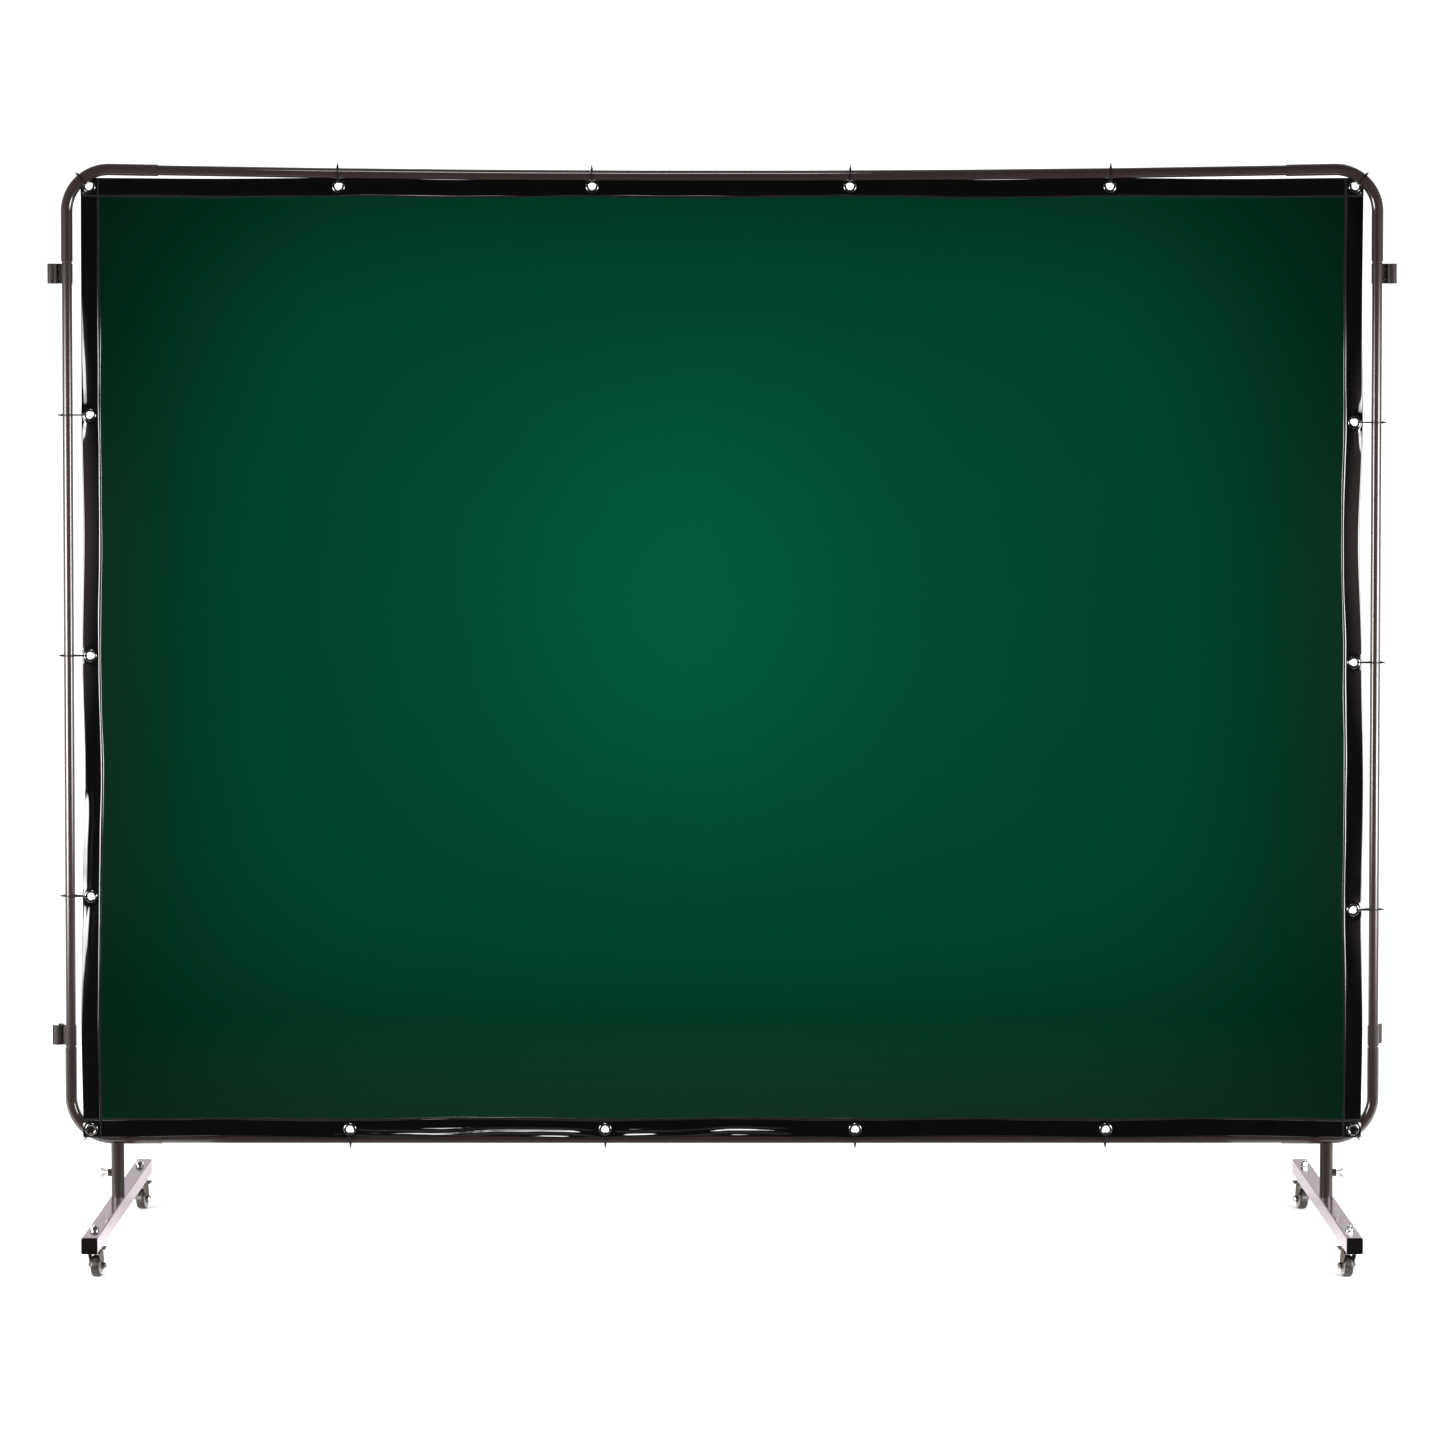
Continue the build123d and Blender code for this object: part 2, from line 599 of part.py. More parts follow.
def cable_tie(axis_point, grommet, tube_d, edge, head_turn=0.0):
    """Strap round a tube and through a grommet, with its head and cut tail on the tube's outer side.

    axis_point is the tube's axis and grommet the hole's centre, both as X and Z. edge is the distance from
    the grommet's centre to the curtain's edge. head_turn swings the head round the tube, away from the hem.
    """
    inward = (grommet[0] - axis_point[0], grommet[1] - axis_point[1])
    gap = hypot(*inward)
    nx, nz = inward[0] / gap, inward[1] / gap
    depth = (grommet[1] - CURTAIN_Z) * tan(LEAN)
    tie = Plane(origin=(axis_point[0], 0, axis_point[1]), x_dir=(nx, 0, nz), z_dir=(-nz, 0, nx))
    near, far = gap - edge - RUN_GAP, gap - EYELET_R + RUN_GAP     # what it grips of the hem
    half, round_r = 2.6, 0.8                                        # grip's half thickness, its corners
    held = [(0, 0, tube_d / 2 + FIT)]
    held += [(u, depth + v, round_r) for u in (near + round_r, far - round_r)
             for v in (round_r - half, half - round_r)]
    away = -1 if depth > 0 else 1
    head_plane = Plane(tie.location * Location((0, 0, 0), (0, 0, 180 - away * head_turn)))
    head_out, head_along, head_across = TIE_HEAD
    head_x, tail_shift = tube_d / 2 + FIT + head_out / 2, 0.6
    with BuildPart() as strap:
        with BuildSketch(tie):
            Polygon(*taut_outline(held, TIE_THICK), align=None)
        extrude(amount=TIE_WIDTH / 2, both=True)
        with BuildSketch(head_plane):
            with Locations((head_x, 0)):
                Rectangle(head_out, head_along)
        extrude(amount=head_across / 2, both=True)
        with BuildSketch(head_plane):
            with Locations((head_x + TIE_TAIL / 2, tail_shift)):
                Rectangle(TIE_TAIL, TIE_THICK)
        extrude(amount=TIE_WIDTH / 2, both=True)
        with BuildSketch(tie):
            Polygon(*taut_outline(held, 0.0), align=None)
        extrude(amount=TIE_WIDTH, both=True, mode=Mode.SUBTRACT)
    return strap.part


def top_rail_z(x):
    """Height of the sagging top rail's axis."""
    joint_z = corner_joint(1, 1)[1]
    radius = (JOINT_X ** 2 + TOP_SAG ** 2) / (2 * TOP_SAG)
    return joint_z - TOP_SAG + radius - sqrt(radius ** 2 - x ** 2)


def cable_ties():
    """One tie for each grommet: four at the corners, then top, bottom and sides."""
    u = CURTAIN_WIDTH / 2 - EYELET_INSET
    rise = (CURTAIN_HEIGHT / 2 - EYELET_INSET) * cos(LEAN)
    high, low = CURTAIN_Z + rise, CURTAIN_Z - rise
    ties = []
    for _, side in SIDES:
        for _, level in LEVELS:
            hole = (side * u, high if level > 0 else low)
            centre = bend_centre(side, level)
            out = (hole[0] - centre[0], hole[1] - centre[1])
            scale = BEND_R / hypot(*out)
            on_axis = (centre[0] + out[0] * scale, centre[1] + out[1] * scale)
            ties.append(cable_tie(on_axis, hole, CORNER_OD, EYELET_INSET * sqrt(2), head_turn=40.0))
    for x in TOP_STATIONS:
        ties.append(cable_tie((x, top_rail_z(x)), (x, high), RAIL_OD, EYELET_INSET))
    for x in BOTTOM_STATIONS:
        ties.append(cable_tie((x, AXIS_BOTTOM), (x, low), RAIL_OD, EYELET_INSET))
    for stations, side in ((LEFT_STATIONS, -1), (RIGHT_STATIONS, 1)):
        for z in stations:
            ties.append(cable_tie((side * AXIS_X, z), (side * u, z), RAIL_OD, EYELET_INSET))
    return ties


# ---------------------------------------------------------------- couplers

def coupler():
    """Strap folded round the rail on the Z axis, riveted flat, then opened into a hook towards +X."""
    collar_r, lip_flare = RAIL_OD / 2 + 0.075, 0.9
    lip_angle = HOOK_OPENING * pi / 180
    lip_x = HOOK_X + (HOOK_R + COUPLER_STRAP / 2) * cos(lip_angle)
    lip_y = (HOOK_R + COUPLER_STRAP / 2) * sin(lip_angle)
    with BuildPart() as strap:
        with BuildSketch(Plane.XY):
            Circle(collar_r + COUPLER_STRAP)
            with Locations((RIVET_X, 0)):
                Rectangle(2 * (RIVET_X - collar_r), 2 * COUPLER_STRAP)
            with Locations((HOOK_X, 0)):
                Circle(HOOK_R + COUPLER_STRAP)
            with BuildLine():
                Polyline((HOOK_X, 0), (HOOK_X + 2 * HOOK_R, 2 * HOOK_R * tan(lip_angle)),
                         (HOOK_X + 2 * HOOK_R, -2 * HOOK_R * tan(lip_angle)), close=True)
            make_face(mode=Mode.SUBTRACT)
            with Locations((HOOK_X, 0)):
                Circle(HOOK_R, mode=Mode.SUBTRACT)
            for up in (-1, 1):
                with BuildLine():
                    Line((lip_x, up * lip_y), (HOOK_TIP - COUPLER_STRAP / 2, up * (lip_y + lip_flare)))
                trace(line_width=COUPLER_STRAP)
            Circle(collar_r, mode=Mode.SUBTRACT)
        extrude(amount=COUPLER_HEIGHT / 2, both=True)
        with BuildSketch(Plane.XZ):
            with Locations((RIVET_X, RIVET_Z), (RIVET_X, -RIVET_Z)):
                Circle(RIVET_R + FIT)
        extrude(amount=2 * COUPLER_STRAP, both=True, mode=Mode.SUBTRACT)
    return strap.part


def coupler_rivets():
    """Two rivets through the flat of the strap, along Y, with a domed head on each side."""
    head_r, head_proud = 2.8, 1.3
    face = COUPLER_STRAP + TOUCH
    crown = (head_r / 3, face + head_proud)
    shoulder = (head_r * 0.8, face + head_proud * 0.62)
    with BuildPart() as rivet:
        with BuildSketch(Plane.XY):
            with BuildLine():
                Polyline((head_r, face), (RIVET_R, face), (RIVET_R, -face), (head_r, -face))
                ThreePointArc((head_r, -face), (shoulder[0], -shoulder[1]), (crown[0], -crown[1]))
                Polyline((crown[0], -crown[1]), (0, -crown[1]), (0, crown[1]), crown)
                ThreePointArc(crown, shoulder, (head_r, face))
            make_face()
        revolve(axis=Axis.Y)
    with BuildPart() as pair:
        with Locations((RIVET_X, 0, RIVET_Z), (RIVET_X, 0, -RIVET_Z)):
            add(rivet.part)
    return pair.part


# ---------------------------------------------------------------- build every node

os.makedirs("parts", exist_ok=True)

save(top_rail(), "top_rail")
save(bottom_rail(), "bottom_rail")
for hand, side in SIDES:
    save(side_rail(side), f"{hand}_rail")
    save(leg_sleeve(side), f"leg_sleeve_{hand}")
    save(wing_screw(side), f"wing_screw_{hand}")
    for row, level in LEVELS:
        save(corner_tube(side, level), f"corner_tube_{row}_{hand}")

weld_nuts = [weld_nut(side) for _, side in SIDES]
with BuildPart() as leg_weld_nuts:
    add(weld_nuts)
save(leg_weld_nuts.part, "leg_weld_nuts")

save(curtain_sheet(), "curtain_sheet")
save(curtain_hem(), "curtain_hem")
on_curtain = [CURTAIN.location * Location((x, y, 0)) for x, y in grommet_spots()]
place(eyelet(), "grommets", *on_curtain)
place(eyelet_washer(), "grommet_washers", *on_curtain)
ties = cable_ties()
with BuildPart() as tie_group:
    add(ties)
save(tie_group.part, "cable_ties")

coupler_strap, rivets = coupler(), coupler_rivets()
for row, level in LEVELS:
    for hand, side in SIDES:
        spot = f"{row}_{hand}"
        end_z = AXIS_TOP - REACH if level > 0 else AXIS_BOTTOM + REACH
        z = end_z - level * (COUPLER_GAP + COUPLER_HEIGHT / 2)
        turn = COUPLER_ANGLE[spot] if side > 0 else 180 - COUPLER_ANGLE[spot]
        at = Location((side * AXIS_X, 0, z), (0, 0, turn))
        place(coupler_strap, f"coupler_{spot}", at)
        place(rivets, f"coupler_rivets_{spot}", at)

cap = end_cap()
stem, nut, balls = caster_stem(), stem_nut(), ball_ring()
fork_part, core_part, tyre_part, pedal_part = fork(), wheel_core(), tyre(), brake_pedal()
for hand, side in SIDES:
    x = side * LEG_X
    stems = [Location((x, end * CASTER_Y, 0)) for _, end in ENDS]
    mid_z = FOOT_TOP - FOOT_SIDE / 2
    face_y = FOOT_LENGTH / 2 - CAP_THICK
    save(foot_tube(side), f"foot_tube_{hand}")
    save(foot_post(side), f"foot_post_{hand}")
    place(cap, f"end_caps_{hand}",
          Location((x, -face_y, mid_z)), Location((x, face_y, mid_z), (0, 0, 180)))
    place(stem, f"caster_stems_{hand}", *stems)
    place(nut, f"stem_nuts_{hand}", *stems)
    place(balls, f"bearing_balls_{hand}", *stems)
    axle_part = axle_set(-side)
    for (end_name, _), spot in zip(ENDS, stems):
        corner = f"{end_name}_{hand}"
        swivel = spot * Location((0, 0, 0), (0, 0, side * CASTER_YAW[corner]))
        axle_at = swivel * Location((0, TRAIL, WHEEL_R))
        place(fork_part, f"fork_{corner}", swivel)
        place(pedal_part, f"brake_pedal_{corner}", swivel)
        place(axle_part, f"axle_{corner}", axle_at)
        place(core_part, f"wheel_{corner}", axle_at)
        place(tyre_part, f"tyre_{corner}", axle_at)
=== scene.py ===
"""Visual model of a welding curtain screen: a green PVC curtain laced into a tube frame on swivel casters.

Metres, +Z up, +X along the screen, -Y towards its front. The CAD nodes keep their places and get their
finishes here. The curtain's film, hems and weld beads and the wheels' pale rims are built here as meshes.
"""
from math import cos, pi, radians, sin

import bpy
import numpy as np
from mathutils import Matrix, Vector


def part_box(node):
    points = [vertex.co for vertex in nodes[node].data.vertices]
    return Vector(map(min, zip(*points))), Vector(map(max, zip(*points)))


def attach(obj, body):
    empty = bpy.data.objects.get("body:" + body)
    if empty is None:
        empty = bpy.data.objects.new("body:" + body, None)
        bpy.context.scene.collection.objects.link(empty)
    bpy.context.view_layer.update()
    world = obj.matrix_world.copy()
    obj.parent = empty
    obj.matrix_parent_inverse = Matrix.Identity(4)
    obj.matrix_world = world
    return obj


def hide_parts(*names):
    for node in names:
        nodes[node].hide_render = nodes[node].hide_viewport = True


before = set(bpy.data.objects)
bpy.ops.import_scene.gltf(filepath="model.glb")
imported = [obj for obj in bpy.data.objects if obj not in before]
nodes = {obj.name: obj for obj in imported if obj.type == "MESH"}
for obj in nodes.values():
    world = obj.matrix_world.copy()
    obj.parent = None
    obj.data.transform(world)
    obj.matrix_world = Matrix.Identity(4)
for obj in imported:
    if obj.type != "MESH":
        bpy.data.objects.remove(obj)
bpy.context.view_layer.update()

SIDES = ("left", "right")
CORNERS = [f"{end}_{hand}" for hand in SIDES for end in ("front", "rear")]

# ---------------------------------------------------------------- curtain dimensions

HEM_WIDTH = 0.034
HEM_OVERLAP = 0.010         # how far the film runs on inside the hem
HEM_HALF_THICK = {"left": 0.0007, "right": 0.0007, "top": 0.0009, "bottom": 0.0009}
HEM_LIP = 0.0003            # half the thickness of a hem's inner edge
HEM_FLAT_FROM = 0.0022      # where a hem's rounded fold has become flat, from its outer edge
HEM_LINES = 22              # grid lines across one face of a hem
# The fold at a hem's outer edge: (distance from that edge, share of the half thickness).
HEM_FOLD = ((0.0009, 0.86), (0.0003, 0.5), (0.0, 0.0), (0.0003, -0.5), (0.0009, -0.86))

BEAD_WIDTH = 0.0056
BEAD_HEIGHTS = {"top": 0.0008, "bottom": 0.0008, "left": 0.0011, "right": 0.0011}
BEAD_FOOT = 0.0004          # a bead's edges, from the middle of the film
BEAD_END = 0.001            # how far a bead stops before the curtain's edge
BEAD_GRID = (700, 13)       # lines along a bead and across it

FILM_STEP = 0.014           # grid of the film
FILM_MARGIN = 0.03          # width of the finer grid along the film's edges
HEM_STEP = 0.005            # grid along the hem,
GROMMET_STEP = 0.0025       # beside its grommets,
GROMMET_MARGIN = 0.018      # and how far to each side of them

HOLE_R = 0.0078
WASHER_R = 0.0122
HELD_REACH = 0.055          # how far around a washer the curtain is held in its plane
FLAT_REACH = 0.008          # and how far its hem is pressed flat

SWAY = 0.0011               # how far the whole film sways to the front and back,
SLANT_SWAY = 0.0006         # and in slanting waves besides
WAVE_REACH = 0.11           # how far a wave of the edge dies out into the film
CURL_REACH = 0.014          # how far in from its outer edge a hem curls
RIPPLE_REACH = 0.022        # how far in it ripples,
RIPPLE_FADE = 0.008         # over what width the ripples die out there,
RIPPLE_FROM = 0.006         # where the first crest is,
RIPPLE_LENGTH = 0.011       # and how far the crests are apart

# Slow waves along an edge: (height, radians per metre, share of the phase).
RIPPLE_DRIFT = ((0.0036, 15.0, 0.5), (0.0008, 41.0, 1.0))
BEAD_WANDER = ((0.0005, 9.0, 1.0), (0.0003, 31.0, 2.0))
BEAD_SWELL = ((0.15, 13.0, 3.0), (0.08, 47.0, 1.0))

# How the curtain's edges lie between their grommets: for each span, how far the edge is drawn in, and how far
# it bulges to the front. Spans run left to right and bottom to top, between the grommets of that edge.
SPANS = {
    "top": ((0.0015, 0.002), (0.0035, -0.002), (0.0030, 0.002), (0.0035, -0.0015), (0.0020, 0.002)),
    "bottom": ((0.0036, 0.0015), (0.0038, 0.002), (0.0036, -0.001), (0.0034, 0.002), (0.0030, 0.001)),
    "left": ((-0.0025, 0.003), (0.0060, 0.006), (0.0025, -0.003), (0.0010, 0.006)),
    "right": ((-0.0020, 0.003), (-0.0025, 0.005), (0.0050, -0.004), (0.0025, 0.005)),
}

# How far each hem rolls back from its inner to its outer edge.
CROWNS = {"top": 0.0002, "bottom": 0.0002, "left": 0.0018, "right": 0.0018}

# How far the outer edge curls back besides, and how high the hem ripples: (place along the edge from its
# middle, height), with smooth changes between the places.
CURLS = {
    "left": ((-0.74, 0.0), (-0.63, 0.0012), (-0.54, 0.0022), (-0.48, 0.0030), (-0.455, 0.0012),
             (-0.42, 0.0026), (-0.35, 0.0016), (-0.27, 0.0030), (-0.245, 0.0), (0.405, 0.0), (0.435, 0.0018),
             (0.455, 0.0032), (0.472, 0.0008), (0.486, 0.0034), (0.53, 0.0026), (0.62, 0.0018),
             (0.70, 0.0010), (0.78, 0.0)),
    "right": ((-0.60, 0.0), (0.38, 0.0), (0.42, 0.0016), (0.438, 0.0024), (0.455, 0.0006), (0.475, 0.0014),
              (0.52, 0.0)),
    "top": ((-1.0, 0.0), (1.0, 0.0)),
    "bottom": ((-1.0, 0.0), (1.0, 0.0)),
}
RIPPLES = {
    "left": ((-0.60, 0.0), (-0.48, 0.00022), (-0.40, 0.00020), (-0.28, 0.00024), (-0.22, 0.0)),
    "right": ((0.38, 0.0), (0.44, 0.00018), (0.50, 0.0)),
    "top": ((-1.19, 0.0), (-1.12, 0.00035), (-1.00, 0.00018), (-0.93, 0.00040), (-0.86, 0.0), (1.0, 0.0)),
    "bottom": ((-0.80, 0.0), (-0.66, 0.0011), (-0.44, 0.0017), (-0.30, 0.0016), (-0.223, 0.0002),
               (-0.17, 0.0015), (-0.06, 0.0006), (0.01, 0.0016), (0.08, 0.0013), (0.16, 0.00008),
               (1.1, 0.00006)),
}


# ---------------------------------------------------------------- materials

class Material:
    """A Principled material whose sockets can be fed from nodes."""

    def __init__(self, name, **uniform):
        self.material = bpy.data.materials.new(name)
        self.material.use_nodes = True
        self.tree = self.material.node_tree
        self.shader = self.tree.nodes["Principled BSDF"]
        self.output = self.tree.nodes["Material Output"]
        for socket, value in uniform.items():
            self.shader.inputs[socket.replace("_", " ")].default_value = value
        self.place = self.node("ShaderNodeTexCoord").outputs["Object"]

    def node(self, kind, inputs=None, **settings):
        made = self.tree.nodes.new(kind)
        for name, value in settings.items():
            setattr(made, name, value)
        for socket, value in (inputs or {}).items():
            self.feed(made.inputs[socket], value)
        return made

    def feed(self, socket, value):
        if isinstance(value, bpy.types.NodeSocket):
            self.tree.links.new(value, socket)
        else:
            socket.default_value = value

    def stretched(self, scale):
        """The piece's own coordinates, scaled separately along each axis."""
        return self.node("ShaderNodeMapping", {"Vector": self.place, "Scale": scale}).outputs[0]

    def noise(self, scale, detail=3.0, place=None):
        return self.node("ShaderNodeTexNoise", {
            "Vector": place or self.place, "Scale": scale, "Detail": detail, "Roughness": 0.55}).outputs[0]

    def specks(self, scale, size):
        """1 inside small scattered dots, 0 elsewhere."""
        cells = self.node("ShaderNodeTexVoronoi", {"Vector": self.place, "Scale": scale})
        return self.remap(cells.outputs["Distance"], size, size * 0.5, 0.0, 1.0)

    def remap(self, value, low, high, to_low, to_high):
        return self.node("ShaderNodeMapRange", {
            "Value": value, "From Min": low, "From Max": high,
            "To Min": to_low, "To Max": to_high}).outputs[0]

    def math(self, operation, a, b):
        return self.node("ShaderNodeMath", {0: a, 1: b}, operation=operation).outputs[0]

    def blend(self, share, a, b):
        """Colour a where share is 0 and colour b where it is 1."""
        mixer = self.node("ShaderNodeMix", data_type="RGBA")
        for socket, value in (("Factor_Float", share), ("A_Color", a), ("B_Color", b)):
            self.feed(next(s for s in mixer.inputs if s.identifier == socket), value)
        return next(s for s in mixer.outputs if s.identifier == "Result_Color")

    def edge_wear(self, scale, low, high):
        """1 on the convex edges of a piece, broken up by noise; low and high are pointiness."""
        point = self.node("ShaderNodeNewGeometry").outputs["Pointiness"]
        return self.math("MULTIPLY", self.remap(point, low, high, 0.0, 1.0), self.remap(
            self.noise(scale), 0.45, 0.6, 0.0, 1.0))

    def color(self, value):
        self.feed(self.shader.inputs["Base Color"], value)

    def roughness(self, value):
        self.feed(self.shader.inputs["Roughness"], value)

    def bump(self, *layers):
        """Bumps, each as (height, depth in metres)."""
        normal = None
        for height, depth in layers:
            inputs = {"Height": height, "Distance": depth, "Strength": 1.0}
            if normal is not None:
                inputs["Normal"] = normal
            normal = self.node("ShaderNodeBump", inputs).outputs[0]
        self.feed(self.shader.inputs["Normal"], normal)


def powder_coat(name, dark, light, gloss):
    """Brown paint with a clear gloss, faintly mottled and flecked."""
    m = Material(name, Specular_IOR_Level=0.12, Coat_Weight=gloss, Coat_Roughness=0.04, Coat_IOR=1.5)
    mottle = m.noise(5.0, 3.0)
    flecks = m.specks(900.0, 0.13)
    base = m.blend(mottle, dark, light)
    m.color(m.blend(m.math("MULTIPLY", flecks, 0.12), base, (0.075, 0.060, 0.055, 1)))
    m.roughness(m.remap(m.noise(45.0), 0.3, 0.7, 0.34, 0.44))
    m.bump((m.noise(1000.0, 1.0), 0.000003), (m.noise(220.0, 1.0), 0.000012))
    return m.material


def coupler_paint():
    m = Material("coupler_paint", Specular_IOR_Level=0.12, Coat_Weight=0.6, Coat_Roughness=0.08)
    base = m.blend(m.noise(40.0), (0.021, 0.016, 0.0148, 1), (0.028, 0.0215, 0.020, 1))
    wear = m.math("MULTIPLY", m.edge_wear(300.0, 0.60, 0.68), 0.12)
    m.color(m.blend(wear, base, (0.12, 0.11, 0.10, 1)))
    m.roughness(m.remap(m.noise(120.0), 0.3, 0.7, 0.30, 0.42))
    m.bump((m.noise(900.0, 1.0), 0.000004))
    return m.material


def foot_chrome():
    """Chrome with a pinkish cast, smeared and scuffed along the foot."""
    m = Material("foot_chrome", Metallic=0.85, Specular_Tint=(0.68, 0.625, 0.655, 1))
    m.color(m.blend(m.noise(9.0, 3.0), (0.56, 0.48, 0.52, 1), (0.48, 0.41, 0.445, 1)))
    smears = m.noise(24.0, 5.0, place=m.stretched((5.0, 1.0, 5.0)))
    scuffs = m.noise(900.0, 2.0, place=m.stretched((1.0, 0.04, 1.0)))
    m.roughness(m.math("ADD", m.remap(smears, 0.35, 0.75, 0.10, 0.18),
                       m.remap(scuffs, 0.62, 0.8, 0.0, 0.08)))
    m.bump((m.noise(45.0, 1.0, place=m.stretched((1.0, 0.12, 1.0))), 0.00003))
    return m.material


def zinc_plating(name, light, dark, rough):
    """Zinc plating with a fine spangle."""
    m = Material(name, Metallic=1.0, Specular_Tint=(0.8, 0.8, 0.8, 1))
    spangle = m.node("ShaderNodeTexVoronoi", {"Vector": m.place, "Scale": 420.0}).outputs["Color"]
    m.color(m.blend(m.noise(200.0, 4.0), light, dark))
    m.roughness(m.remap(m.noise(500.0), 0.3, 0.7, rough - 0.07, rough + 0.07))
    m.bump((spangle, 0.00001), (m.noise(1500.0, 2.0), 0.000005))
    return m.material


THREAD_PITCH = 0.00125
WAVE_TEXTURE_RATE = 20.0    # radians per metre of the wave texture at scale 1


def zinc_thread():
    """Bright zinc with a fine thread cut round the Z axis, with painted shade in its grooves."""
    m = Material("zinc_thread", Metallic=1.0)
    scale = 2 * pi / WAVE_TEXTURE_RATE / THREAD_PITCH
    turns = m.node("ShaderNodeTexWave", {"Vector": m.place, "Scale": scale, "Distortion": 0.0},
                   bands_direction="Z", wave_profile="TRI").outputs["Fac"]
    # The thread's grooves are painted dark and its crests bright: painted shade.
    m.color(m.blend(turns, (0.30, 0.30, 0.31, 1), (0.82, 0.81, 0.80, 1)))
    m.roughness(m.remap(m.noise(500.0), 0.3, 0.7, 0.16, 0.30))
    m.bump((turns, 0.0003))
    return m.material


def nickel():
    m = Material("nickel", Metallic=1.0, Specular_Tint=(0.42, 0.40, 0.39, 1))
    m.color(m.blend(m.noise(90.0, 4.0), (0.24, 0.22, 0.21, 1), (0.11, 0.10, 0.095, 1)))
    drawn = m.noise(1400.0, 2.0, place=m.stretched((1.0, 1.0, 0.06)))
    m.roughness(m.remap(drawn, 0.3, 0.75, 0.09, 0.20))
    m.bump((drawn, 0.000004), (m.noise(70.0), 0.0001))
    return m.material


def satin_plastic(name, dark, light, rough, grain):
    m = Material(name, IOR=1.5)
    scuffs = m.remap(m.noise(600.0, 3.0, place=m.stretched((1.0, 0.1, 1.0))), 0.64, 0.78, 0.0, 1.0)
    m.color(m.blend(m.math("MULTIPLY", scuffs, 0.35), dark, light))
    m.roughness(m.remap(m.noise(180.0), 0.3, 0.7, rough - 0.06, rough + 0.08))
    m.bump((m.noise(grain, 2.0), 0.000012))
    return m.material


def tyre_rubber():
    m = Material("tyre_rubber")
    dust = m.remap(m.noise(140.0, 5.0), 0.42, 0.70, 0.0, 0.6)
    m.color(m.blend(dust, (0.016, 0.012, 0.010, 1), (0.062, 0.049, 0.041, 1)))
    m.roughness(m.remap(m.noise(260.0), 0.3, 0.7, 0.24, 0.38))
    m.bump((m.noise(700.0, 3.0), 0.00004))
    return m.material


def grommet_metal():
    m = Material("grommet_metal", Metallic=1.0)
    m.color(m.blend(m.noise(500.0, 4.0), (0.10, 0.095, 0.092, 1), (0.17, 0.165, 0.155, 1)))
    m.roughness(m.remap(m.noise(800.0), 0.3, 0.7, 0.10, 0.22))
    m.bump((m.noise(1500.0, 2.0), 0.000004))
    return m.material


def nylon():
    m = Material("nylon", IOR=1.53, Specular_IOR_Level=0.2)
    m.color(m.blend(m.noise(400.0), (0.003, 0.003, 0.0035, 1), (0.007, 0.007, 0.0075, 1)))
    m.roughness(m.remap(m.noise(300.0), 0.3, 0.7, 0.34, 0.48))
    m.bump((m.noise(1600.0, 2.0), 0.000006))
    return m.material


def hem_vinyl():
    m = Material("hem_vinyl", IOR=1.52)
    m.color(m.blend(m.noise(25.0, 4.0), (0.0008, 0.0008, 0.0009, 1), (0.0022, 0.0021, 0.0024, 1)))
    m.roughness(m.remap(m.noise(40.0, 5.0), 0.35, 0.75, 0.015, 0.05))
    m.bump((m.noise(1300.0, 1.0), 0.000002), (m.noise(55.0, 1.0), 0.00005))
    return m.material


def bead_vinyl():
    m = Material("bead_vinyl", IOR=1.54)
    m.color(m.blend(m.noise(60.0, 3.0), (0.004, 0.005, 0.0045, 1), (0.013, 0.016, 0.0145, 1)))
    m.roughness(m.remap(m.noise(90.0), 0.3, 0.7, 0.03, 0.08))
    m.bump((m.noise(200.0, 2.0), 0.00004))
    return m.material


FILM_CLEAR = 0.1            # share of the light through the film that goes straight on
FILM_THROUGH = 0.55         # share of the film's look that is light through it, the rest being its surface


def film_vinyl():
    """Tinted film: a glossy surface, light scattered through it, and a faint deep green view through.

    Its colour is painted greyer along its flanks and low down, as painted sheen, and darker in its top
    corners, as painted shade.
    """
    m = Material("film_vinyl", IOR=1.46)
    m.color(m.blend(m.noise(3.0, 3.0), (0.0006, 0.0095, 0.0044, 1), (0.0008, 0.0115, 0.0054, 1)))
    m.roughness(m.remap(m.noise(7.0, 5.0), 0.3, 0.7, 0.10, 0.16))
    m.bump((m.noise(1.6, 2.0), 0.003), (m.noise(700.0, 1.0), 0.000002))

    x, _, z = m.node("ShaderNodeSeparateXYZ", {0: m.place}).outputs
    aside = m.math("ABSOLUTE", x, 0.0)
    # Painted light low down: the colour of the light through the film turns lighter and greyer towards its
    # bottom.
    low = m.remap(z, 0.22, 0.44, 1.0, 0.0)
    # Painted sheen along the flanks: that colour turns greyer there.
    flank_painted_sheen = m.math("MULTIPLY", m.remap(aside, 1.05, 1.22, 0.0, 1.0), m.math(
        "MULTIPLY", m.remap(z, 0.35, 0.65, 0.0, 1.0), m.remap(z, 1.45, 1.80, 1.0, 0.0)))
    # Painted shade in the top corners: that colour darkens towards black there.
    corner = m.math("MULTIPLY", m.remap(aside, 0.75, 1.15, 0.0, 0.8), m.remap(z, 1.3, 2.0, 0.0, 0.4))
    green = m.blend(m.noise(5.0, 4.0), (0.0, 0.080, 0.0345, 1), (0.0, 0.088, 0.0375, 1))
    green = m.blend(flank_painted_sheen, green, (0.016, 0.084, 0.040, 1))
    green = m.blend(low, green, (0.022, 0.118, 0.062, 1))
    green = m.blend(corner, green, (0, 0, 0, 1))

    glow = m.node("ShaderNodeBsdfTranslucent", {"Color": green}).outputs[0]
    clear = m.node("ShaderNodeBsdfTransparent", {"Color": (0.0, 0.025, 0.01, 1)}).outputs[0]
    through = m.node("ShaderNodeMixShader", {0: FILM_CLEAR, 1: glow, 2: clear}).outputs[0]
    both = m.node("ShaderNodeMixShader", {0: FILM_THROUGH, 1: m.shader.outputs[0], 2: through}).outputs[0]
    m.feed(m.output.inputs["Surface"], both)
    return m.material


